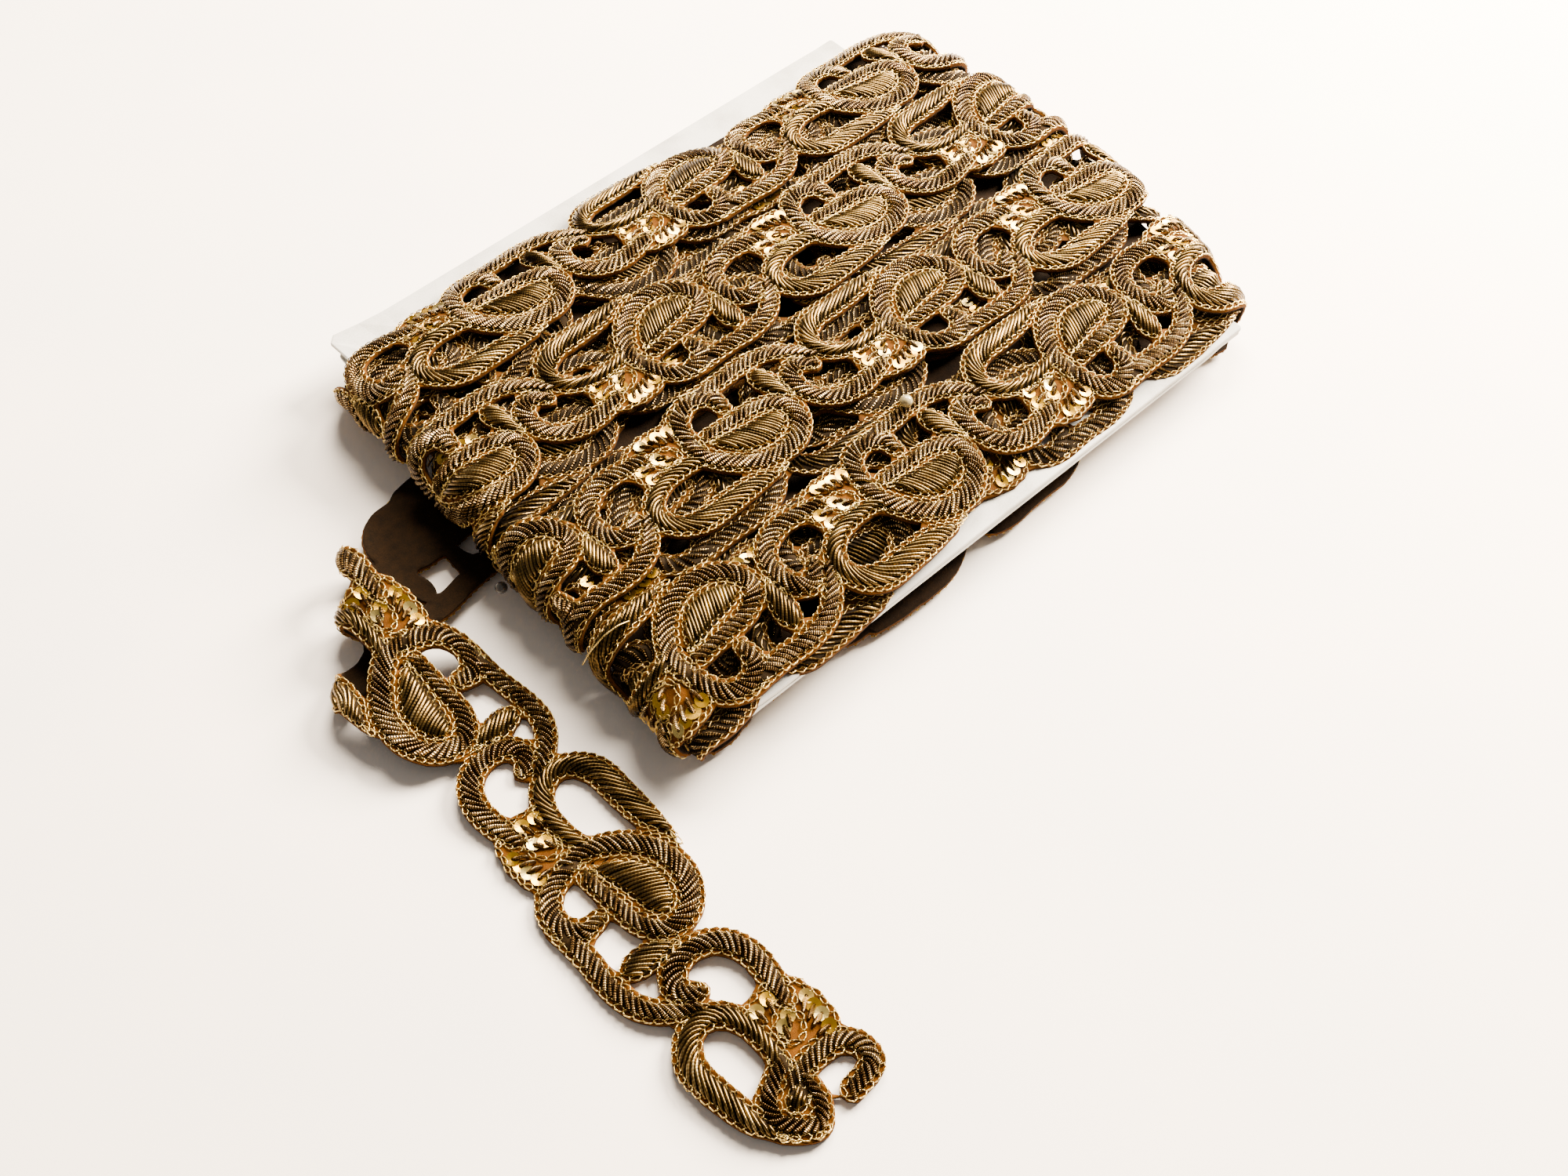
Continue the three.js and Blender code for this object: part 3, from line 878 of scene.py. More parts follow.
@dataclass(frozen=True)
class SequinShape:
    """A flat stamped disc with a hole, slightly cupped."""

    radius: float = 2.0
    hole: float = 0.5
    thick: float = 0.12
    cup: float = 0.18  # how much higher its rim is
    sides: int = 12

    def patch(self) -> Patch:
        """The disc."""
        rings = ((self.hole, 0.0), (self.radius, self.cup), (self.radius, self.cup + self.thick),
                 (self.hole, self.thick))
        angles = [2 * math.pi * j / self.sides for j in range(self.sides)]
        points = [(r * math.cos(angle), r * math.sin(angle), z) for r, z in rings for angle in angles]
        around = len(points)
        faces = [[i % around for i in face] for face in ring_faces(len(rings) + 1, self.sides)]
        return outward(Patch.made(points, faces, smooth=False))


# Geometry Nodes trees for what repeats


@dataclass
class NodeTool:
    """A Geometry Nodes tree that sets small shapes along stitched lines or at marks."""

    name: str
    shape: Patch
    finish: int
    tree: bpy.types.NodeTree = field(init=False)
    model: bpy.types.Object = field(init=False)

    def __post_init__(self) -> None:
        """Make the repeated shape, left in millimetres, and the tree."""
        self.model = show(self.shape.mesh(f"{self.name} model", FINISHES[:1]), f"{self.name}_model")
        self.model.data.vertices.foreach_set("co", self.shape.points.astype(np.float32).ravel())
        self.tree = bpy.data.node_groups.new(self.name, "GeometryNodeTree")
        self.build()

    def socket(self, name: str, kind: str, value: Any = None, output: bool = False) -> None:
        """Name one input or output of the tree.

        Args:
            name: its name.
            kind: its socket type.
            value: its first value, or None.
            output: whether it is an output.
        """
        side = "OUTPUT" if output else "INPUT"
        made = self.tree.interface.new_socket(name=name, socket_type=kind, in_out=side)
        if value is not None:
            made.default_value = value

    def begin(self, numbers: dict[str, float]) -> bpy.types.Node:
        """Add the inputs that every tree has, and its own sizes.

        Args:
            numbers: names and first values of its sizes.

        Returns:
            The group's input node.
        """
        self.socket("Geometry", "NodeSocketGeometry")
        self.socket("Shape", "NodeSocketObject")
        self.socket("Finish", "NodeSocketMaterial")
        self.socket("Seed", "NodeSocketInt", 1)
        for name, value in numbers.items():
            self.socket(name, "NodeSocketFloat", value)
        self.socket("Geometry", "NodeSocketGeometry", output=True)
        return put(self.tree, "NodeGroupInput")

    def end(self, start: bpy.types.Node, points: Any, rotation: Any, scale: Any) -> None:
        """Set the shape at points, realise it and give it its finish.

        Args:
            start: the group's input node.
            points: socket of the points or curve.
            rotation: socket of each one's turn.
            scale: socket of each one's size.
        """
        source = put(self.tree, "GeometryNodeObjectInfo", {"Object": start.outputs["Shape"]})
        every = put(self.tree, "GeometryNodeInstanceOnPoints", {
            "Points": points, "Instance": source.outputs["Geometry"], "Rotation": rotation, "Scale": scale})
        real = put(self.tree, "GeometryNodeRealizeInstances", {"Geometry": every.outputs["Instances"]})
        dressed = put(self.tree, "GeometryNodeSetMaterial", {
            "Geometry": real.outputs["Geometry"], "Material": start.outputs["Finish"]})
        put(self.tree, "NodeGroupOutput", {0: dressed.outputs["Geometry"]})

    def chance(self, start: bpy.types.Node, low: float, high: float, shift: int) -> bpy.types.NodeSocket:
        """Add a seeded random number a shape.

        Args:
            start: the group's input node.
            low: least value.
            high: greatest value.
            shift: what is added to the seed.

        Returns:
            The number's socket.
        """
        seed = calc(self.tree, "ADD", start.outputs["Seed"], float(shift))
        drawn = put(self.tree, "FunctionNodeRandomValue", {2: low, 3: high, "Seed": seed}, data_type="FLOAT")
        return drawn.outputs[1]

    def kept(self, name: str) -> bpy.types.NodeSocket:
        """Read a number stored at each point."""
        return put(self.tree, "GeometryNodeInputNamedAttribute", {"Name": name},
                   data_type="FLOAT").outputs["Attribute"]

    def strung(self, start: bpy.types.Node) -> tuple[bpy.types.NodeSocket, bpy.types.NodeSocket]:
        """Space points evenly along the lines.

        Args:
            start: the group's input node.

        Returns:
            Sockets of the points, and of each one's turn into its line.
        """
        curve = put(self.tree, "GeometryNodeMeshToCurve", {"Mesh": start.outputs["Geometry"]})
        spaced = put(self.tree, "GeometryNodeResampleCurve", {
            "Curve": curve.outputs["Curve"], "Length": start.outputs["Spacing"]}, mode="LENGTH")
        tangent = put(self.tree, "GeometryNodeInputTangent").outputs["Tangent"]
        aimed = put(self.tree, "FunctionNodeAlignRotationToVector", {"Vector": tangent},
                    axis="X", pivot_axis="Z")
        return spaced.outputs["Curve"], aimed.outputs["Rotation"]

    def marked(self, start: bpy.types.Node) -> bpy.types.NodeSocket:
        """Take the marks as points."""
        marks = put(self.tree, "GeometryNodeMeshToPoints", {"Mesh": start.outputs["Geometry"]})
        return marks.outputs["Points"]

    def turned(self, angle: bpy.types.NodeSocket, aimed: bpy.types.NodeSocket | None = None) -> Any:
        """Turn each shape flat on the felt.

        Args:
            angle: socket of the angle.
            aimed: socket of the turn that it is added to, or None.

        Returns:
            The turn's socket.
        """
        turn = put(self.tree, "FunctionNodeAxisAngleToRotation", {"Axis": (0, 0, 1), "Angle": angle})
        if aimed is None:
            return turn.outputs["Rotation"]
        both = put(self.tree, "FunctionNodeRotateRotation", {
            "Rotation": aimed, "Rotate By": turn.outputs["Rotation"]}, rotation_space="LOCAL")
        return both.outputs["Rotation"]

    def triple(self, x: Any, y: Any, z: Any) -> bpy.types.NodeSocket:
        """Join three numbers."""
        return put(self.tree, "ShaderNodeCombineXYZ", {"X": x, "Y": y, "Z": z}).outputs["Vector"]

    def build(self) -> None:
        """Build the tree."""
        raise NotImplementedError

    def work(self, points: np.ndarray, runs: Sequence[Sequence[int]], numbers: dict[str, np.ndarray],
             sizes: dict[str, float], seed: int) -> Patch:
        """Run the tree over stitched lines or marks.

        Args:
            points: places in millimetres.
            runs: lists of point numbers that are joined in a line, none for marks.
            numbers: values stored at each point.
            sizes: values of the tree's named sizes.
            seed: seed of its random numbers.

        Returns:
            The worked shapes.
        """
        base = bpy.data.meshes.new("stitched lines")
        edges = [pair for run in runs for pair in zip(run[:-1], run[1:])]
        base.from_pydata(points.tolist(), edges, [])
        for name, values in numbers.items():
            base.attributes.new(name, "FLOAT", "POINT").data.foreach_set("value", values.astype(np.float32))
        guide = show(base, "stitched_lines")
        modifier = guide.modifiers.new(self.name, "NODES")
        modifier.node_group = self.tree
        wanted = {"Shape": self.model, "Finish": FINISHES[self.finish].material(), "Seed": seed, **sizes}
        for item in self.tree.interface.items_tree:
            if item.item_type == "SOCKET" and item.in_out == "INPUT" and item.name in wanted:
                modifier[item.identifier] = wanted[item.name]
        bpy.context.view_layer.update()
        graph = bpy.context.evaluated_depsgraph_get()
        plain = bpy.data.meshes.new_from_object(guide.evaluated_get(graph))
        guide.modifiers.remove(modifier)
        patch = self.read(plain)
        bpy.data.objects.remove(guide)
        bpy.data.meshes.remove(base)
        bpy.data.meshes.remove(plain)
        return patch

    def read(self, mesh: bpy.types.Mesh) -> Patch:
        """Copy a worked mesh into loose mesh data.

        Args:
            mesh: the plain mesh.

        Returns:
            The patch, each shape anchored at its own middle.
        """
        points = np.empty(len(mesh.vertices) * 3, np.float32)
        mesh.vertices.foreach_get("co", points)
        corners = np.empty(len(mesh.loops), np.int32)
        mesh.loops.foreach_get("vertex_index", corners)
        counts = np.empty(len(mesh.polygons), np.int32)
        mesh.polygons.foreach_get("loop_total", counts)
        smooth = np.empty(len(mesh.polygons), bool)
        mesh.polygons.foreach_get("use_smooth", smooth)
        uv = np.empty(len(mesh.loops) * 2, np.float32)
        mesh.uv_layers[UV_NAME].data.foreach_get("uv", uv)
        places = points.reshape(-1, 3).astype(float)
        each = len(self.shape.points)
        middles = places.reshape(-1, each, 3).mean(1)[:, :2]
        return Patch(places, corners.astype(int), counts.astype(int), np.full(len(counts), self.finish),
                     uv.reshape(-1, 2).astype(float), np.repeat(middles, each, 0), smooth)

    def clear(self) -> None:
        """Take the repeated shape out of the scene."""
        bpy.data.objects.remove(self.model)


@dataclass
class LaidWires(NodeTool):
    """Wires laid slantwise side by side along a band."""

    def build(self) -> None:
        """Curve, even spacing, wires turned from the line by its lay."""
        start = self.begin({"Spacing": 1.5, "Unevenness": 0.05})
        spaced, aimed = self.strung(start)
        slant = calc(self.tree, "MULTIPLY_ADD", self.chance(start, -1.0, 1.0, 11),
                     start.outputs["Unevenness"], self.kept("lay"))
        size = self.triple(self.kept("half"), 1.0, self.chance(start, 0.93, 1.05, 23))
        self.end(start, spaced, self.turned(slant, aimed), size)


@dataclass
class SetWires(NodeTool):
    """Wires set side by side at marks, as in a filled drop or a ray."""

    def build(self) -> None:
        """Marks to wires, each with its own turn, length and height."""
        start = self.begin({"Unevenness": 0.04})
        slant = calc(self.tree, "MULTIPLY_ADD", self.chance(start, -1.0, 1.0, 5),
                     start.outputs["Unevenness"], self.kept("turn"))
        rise = calc(self.tree, "MULTIPLY", self.chance(start, 0.96, 1.04, 9), self.kept("rise"))
        size = self.triple(self.kept("half"), self.kept("thick"), rise)
        self.end(start, self.marked(start), self.turned(slant), size)


@dataclass
class ChainStitches(NodeTool):
    """Chain stitch along a line."""

    def build(self) -> None:
        """Curve, even stitches, each in line with it."""
        start = self.begin({"Spacing": 2.1, "Unevenness": 0.12})
        spaced, aimed = self.strung(start)
        slant = calc(self.tree, "MULTIPLY", self.chance(start, -1.0, 1.0, 3), start.outputs["Unevenness"])
        size = self.triple(self.chance(start, 0.92, 1.08, 17), self.chance(start, 0.85, 1.12, 29), 1.0)
        self.end(start, spaced, self.turned(slant, aimed), size)


@dataclass
class SewnSequins(NodeTool):
    """Sequins at their marks, each tipped a little."""

    def build(self) -> None:
        """Marks to tipped discs."""
        start = self.begin({"Tilt": 0.13})
        tips = [calc(self.tree, "MULTIPLY", self.chance(start, -1.0, 1.0, shift), start.outputs["Tilt"])
                for shift in (2, 4)]
        tilt = self.triple(*tips, self.chance(start, 0.0, 6.28, 6))
        turn = put(self.tree, "FunctionNodeEulerToRotation", {"Euler": tilt}).outputs["Rotation"]
        self.end(start, self.marked(start), turn, self.triple(1.0, 1.0, 1.0))


# Working half a repeat


@dataclass
class Guides:
    """Lines and marks gathered for one run of a tool."""

    points: list[np.ndarray] = field(default_factory=list)
    runs: list[list[int]] = field(default_factory=list)
    numbers: dict[str, list[np.ndarray]] = field(default_factory=dict)
    total: int = 0

    def add(self, places: np.ndarray, joined: bool = True, **numbers: np.ndarray) -> None:
        """Add a line, or marks.

        Args:
            places: points along and across, with or without height.
            joined: whether they make a line.
            **numbers: values stored at each point.
        """
        if len(places) < (2 if joined else 1):
            return
        full = places if places.shape[1] == 3 else np.column_stack([places, np.zeros(len(places))])
        self.points.append(full)
        if joined:
            self.runs.append(list(range(self.total, self.total + len(full))))
        for name, values in numbers.items():
            self.numbers.setdefault(name, []).append(np.broadcast_to(values, (len(full),)).astype(float))
        self.total += len(full)

    def worked(self, tool: NodeTool, sizes: dict[str, float], seed: int) -> list[Patch]:
        """Run a tool over what was gathered."""
        if not self.total:
            return []
        numbers = {name: np.concatenate(parts) for name, parts in self.numbers.items()}
        return [tool.work(np.vstack(self.points), self.runs, numbers, sizes, seed)]


def runs_of(wanted: np.ndarray, least: int) -> list[tuple[int, int]]:
    """Find the unbroken stretches of wanted points.

    Args:
        wanted: one truth value a point.
        least: fewest points in a stretch.

    Returns:
        First and past-the-last number of each stretch.
    """
    edges = np.flatnonzero(np.diff(np.concatenate([[0], wanted.astype(int), [0]])))
    return [(a, b) for a, b in zip(edges[::2], edges[1::2]) if b - a >= least]


@dataclass
class Workshop:
    """The tools of one grade of work, and how they are used on half a repeat."""

    detail: Detail
    wire_spacing: float = 1.0
    rough_spacing: float = 1.36
    smooth_slant: float = 30.0  # usual lay of smooth and rough wires, in degrees from the band
    rough_slant: float = 47.0
    stitch: float = 2.6
    sparse: float = 1.3  # how much wider the coarse grade spaces its wires
    long_stitch: float = 1.15  # how much longer its stitches are
    tools: dict[str, NodeTool] = field(default_factory=dict)
    bands: list[np.ndarray] = field(default_factory=list)

    def __post_init__(self) -> None:
        """Make the tools."""
        fine = self.detail is Detail.FINE
        wire = WireShape().patch() if fine else WireShape((-1, 0, 1), 3, 0.62).patch()
        thick = WireShape(radius=0.66, high=2.66, nominal=7).patch() if fine else WireShape(
            (-1, 0, 1), 3, 0.74, high=2.62, nominal=7).patch()
        link = LinkShape().patch() if fine else LinkShape(
            ((-1.6, 0), (0.3, 0.76), (1.45, 0.0), (0.3, -0.76)), 3, 0.24).patch()
        grade = self.detail.name.lower()
        self.tools = {
            "laid smooth": LaidWires(f"laid smooth wires {grade}", wire, SMOOTH_WIRE),
            "laid rough": LaidWires(f"laid rough wires {grade}", thick, ROUGH_WIRE),
            "set smooth": SetWires(f"set smooth wires {grade}", wire, SMOOTH_WIRE),
            "set rough": SetWires(f"set rough wires {grade}", thick, ROUGH_WIRE),
            "chain": ChainStitches(f"chain stitches {grade}", link, STITCH),
            "sequins": SewnSequins(f"sequins {grade}", SequinShape().patch(), SEQUIN),
        }

    def clear(self) -> None:
        """Put the tools away."""
        for tool in self.tools.values():
            tool.clear()

    def half(self, motifs: dict[str, Any], before: dict[str, Any] | None, after: dict[str, Any] | None,
             seed: int) -> Patch:
        """Work half a repeat with its loop above.

        Args:
            motifs: its motifs.
            before: motifs of the half repeat before it, or None.
            after: motifs of the one after it, or None.
            seed: seed of its unevenness.

        Returns:
            The worked wires, stitches and sequins.
        """
        shapes = [Shape.of(motif) for motif in motifs.values()]
        sides = ((before, -HALF_REPEAT), (after, HALF_REPEAT))
        others = [Shape.of(motif, shift, -1) for group, shift in sides
                  for motif in (group or {}).values()]
        guides = {name: Guides() for name in self.tools}
        self.bands = []
        for shape in shapes:
            higher = [other for other in shapes + others if other.rank < shape.rank]
            if isinstance(shape.motif, Band):
                self.band(shape, higher, guides)
            elif isinstance(shape.motif, Filling):
                self.filling(shape, higher, guides)
            elif isinstance(shape.motif, Fan):
                self.fan(shape, higher, guides)
            else:
                self.bordered(shape, higher, guides)
        wide, longer = (1.0, 1.0) if self.detail is Detail.FINE else (self.sparse, self.long_stitch)
        smooth = wide * self.wire_spacing / math.sin(math.radians(self.smooth_slant))
        rough = wide * self.rough_spacing / math.sin(math.radians(self.rough_slant))
        sizes = {
            "laid smooth": {"Spacing": smooth, "Unevenness": 0.04},
            "laid rough": {"Spacing": rough, "Unevenness": 0.1},
            "chain": {"Spacing": self.stitch * longer},
        }
        parts: list[Patch] = []
        for name, tool in self.tools.items():
            made = guides[name].worked(tool, sizes.get(name, {}), seed)
            parts += [self.bent(part, tool) for part in made] if name.startswith("laid") else made
        return Patch.joined(parts)

    def bent(self, patch: Patch, tool: NodeTool) -> Patch:
        """Bend wires that were laid along straight bands onto the bands' own lines.

        Args:
            patch: the straight bands' wires, one band every APART millimetres.
            tool: the tool that laid them.

        Returns:
            The wires in place.
        """
        number = np.rint(patch.points[:, 1] / APART).astype(int)
        across = patch.points[:, 1] - APART * number
        for index in np.unique(number):
            mine = number == index
            line = self.bands[index]
            marks, (along, _) = run_lengths(line), directions(line)
            u = patch.points[mine, 0]
            on = np.clip(u, 0, marks[-1])
            middle = np.stack([np.interp(on, marks, line[:, k]) for k in (0, 1)], 1)
            way = np.stack([np.interp(on, marks, along[:, k]) for k in (0, 1)], 1)
            aside = np.column_stack([-way[:, 1], way[:, 0]])
            patch.points[mine, :2] = middle + way * (u - on)[:, None] + aside * across[mine][:, None]
        each = len(tool.shape.points)
        patch.anchor = np.repeat(patch.points.reshape(-1, each, 3).mean(1)[:, :2], each, 0)
        return patch

    def clear_of(self, points: np.ndarray, higher: Sequence[Shape], margin: float) -> np.ndarray:
        """Which points lie outside the shapes that go over them.

        Args:
            points: places along and across.
            higher: shapes of a lower rank number.
            margin: least distance from their edges.

        Returns:
            One truth value a point.
        """
        free = np.ones(len(points), bool)
        for shape in higher:
            close = np.flatnonzero(shape.near(points, 2))
            if len(close):
                free[close] &= shape.depth(points[close]) > margin
        return free

    def stitched(self, line: np.ndarray, higher: Sequence[Shape], guides: dict[str, Guides],
                 own: np.ndarray | None = None) -> None:
        """Run chain stitch along a line, where nothing lies over it.

        Args:
            line: places along and across.
            higher: shapes that go over it.
            guides: where the line is gathered.
            own: truth values that must hold too, or None.
        """
        free = self.clear_of(line, higher, -0.45)
        if own is not None:
            free &= own
        for a, b in runs_of(free, 5):
            guides["chain"].add(line[a:b])

    def band(self, shape: Shape, higher: Sequence[Shape], guides: dict[str, Guides]) -> None:
        """Lay a band's wires and stitch both its edges."""
        motif = shape.motif
        line = smooth_line(motif.line, 0.5)
        half = np.maximum(line[:, 2] / 2 - WIRE_INSET, 0.05)
        lay = math.radians(motif.lay)
        free = self.clear_of(line[:, :2], higher, -0.6) & (half > 0.7)
        name = "laid smooth" if motif.thread is Thread.SMOOTH else "laid rough"
        marks = run_lengths(line)
        straight = np.column_stack([marks, np.full(len(line), APART * len(self.bands))])
        self.bands.append(line)
        for a, b in runs_of(free, 4):
            guides[name].add(straight[a:b], half=half[a:b] / abs(math.sin(lay)), lay=np.full(b - a, lay))
        along, across = directions(line)
        reach = np.maximum(line[:, 2] / 2 - EDGE_STITCH, 0.15)[:, None]
        left, right = line[:, :2] + across * reach, line[:, :2] - across * reach
        round_end = np.linspace(0, math.pi, 7)[1:-1]
        cap = [line[-1, :2] + float(reach[-1, 0]) * (math.cos(a) * across[-1] + math.sin(a) * along[-1])
               for a in round_end]
        head = [line[0, :2] + float(reach[0, 0]) * (math.cos(a) * -across[0] - math.sin(a) * along[0])
                for a in round_end]
        ring = np.vstack([left, cap, right[::-1], head, left[:1]])
        self.stitched(ring, higher, guides, shape.depth(ring) > -EDGE_STITCH - 0.45)

    def filling(self, shape: Shape, higher: Sequence[Shape], guides: dict[str, Guides]) -> None:
        """Fill a mound with parallel wires and stitch round it."""
        motif = shape.motif
        turn = math.radians(motif.turn)
        along = np.array([math.cos(turn), math.sin(turn)])
        across = np.array([-math.sin(turn), math.cos(turn)])
        ring = smooth_line(motif.outline, 0.6, closed=True)
        reach = ring @ across
        name = "set smooth" if motif.thread is Thread.SMOOTH else "set rough"
        spacing = self.wire_spacing * (1.0 if self.detail is Detail.FINE else self.sparse)
        step = 0.25
        for offset in np.arange(reach.min() + 0.8, reach.max() - 0.4, spacing):
            marks = np.arange((ring @ along).min(), (ring @ along).max(), step)
            places = marks[:, None] * along + offset * across
            inside = (ring_depth(places, ring) < -1.15) & self.clear_of(places, higher, -0.2)
            for a, b in runs_of(inside, 6):
                middle = (places[a] + places[b - 1]) / 2
                half = (b - a) * step / 2
                guides[name].add(middle[None], False, half=np.array([half]), turn=np.array([turn]),
                                 rise=np.array([min(1.0, 0.75 + half / 14)]), thick=np.array([1.0]))
        inner = smooth_line(self.shrunk(ring, EDGE_STITCH - 0.1), 0.5, closed=True)
        self.stitched(inner, higher, guides)

    def shrunk(self, ring: np.ndarray, inset: float) -> np.ndarray:
        """Draw an outline a little inside another.

        Args:
            ring: closed outline, its last point its first.
            inset: how far inside.

        Returns:
            The inner outline's knots.
        """
        knots = ring[:-1:2]
        along = np.roll(knots, -1, axis=0) - np.roll(knots, 1, axis=0)
        across = np.column_stack([-along[:, 1], along[:, 0]]) / np.linalg.norm(along, axis=1)[:, None]
        inward = knots + 0.2 * across
        way = 1 if ring_depth(inward, ring).mean() < 0 else -1
        return knots + way * inset * across

    def bordered(self, shape: Shape, higher: Sequence[Shape], guides: dict[str, Guides]) -> None:
        """Stitch along the edge of bare felt."""
        ring = smooth_line(shape.motif.outline, 0.6, closed=True)
        self.stitched(smooth_line(self.shrunk(ring, EDGE_STITCH), 0.5, closed=True), higher, guides)

    def fan(self, shape: Shape, higher: Sequence[Shape], guides: dict[str, Guides]) -> None:
        """Sew a fan: its stitched outlines, and sequins held by rays of bullion that point to the stem."""
        motif = shape.motif
        self.bordered(shape, higher, guides)
        self.stitched(smooth_line(motif.drop, 0.5, closed=True), higher, guides)
        table = np.array(motif.sequins)
        table = table[self.clear_of(table[:, :2], higher, 0.6)]
        marks, reach = table[:, :2], table[:, 2]
        aim = np.array(motif.stem) - marks
        aim /= np.linalg.norm(aim, axis=1)[:, None]
        middles = marks + aim * (reach / 2 - 0.2)[:, None]
        guides["set rough"].add(middles, False, half=reach / 2, turn=np.arctan2(aim[:, 1], aim[:, 0]),
                                rise=np.full(len(middles), 0.95), thick=np.full(len(middles), 0.95))
        heights = 1.5 + 0.14 * (np.arange(len(marks)) % 3)
        guides["sequins"].add(np.column_stack([marks, heights]), False)


@dataclass
class Embroidery:
    """Worked half repeats in both grades, made once and used in every length of trim."""

    halves: dict[tuple[Detail, str, int], Patch] = field(default_factory=dict)

    def __post_init__(self) -> None:
        """Work every half repeat that is needed."""
        fine = Workshop(Detail.FINE)
        for seed in (1, 2, 3):
            self.halves[Detail.FINE, "middle", seed] = fine.half(REPEAT, REPEAT, REPEAT, seed)
        self.halves[Detail.FINE, "last", 1] = fine.half(REPEAT, REPEAT, TIP, 4)
        self.halves[Detail.FINE, "tip", 1] = fine.half(TIP, REPEAT, None, 5)
        fine.clear()
        coarse = Workshop(Detail.COARSE)
        self.halves[Detail.COARSE, "middle", 1] = coarse.half(REPEAT, REPEAT, REPEAT, 6)
        self.halves[Detail.COARSE, "middle", 2] = coarse.half(REPEAT, REPEAT, REPEAT, 7)
        coarse.clear()

    def half(self, detail: Detail, kind: str, seed: int) -> Patch:
        """Find a worked half repeat.

        Args:
            detail: its grade.
            kind: middle, last or tip.
            seed: any whole number, which picks one of those worked.

        Returns:
            The patch.
        """
        found = [patch for (grade, name, _), patch in self.halves.items() if grade is detail and name == kind]
        return found[seed % len(found)]


# A length of trim, flat


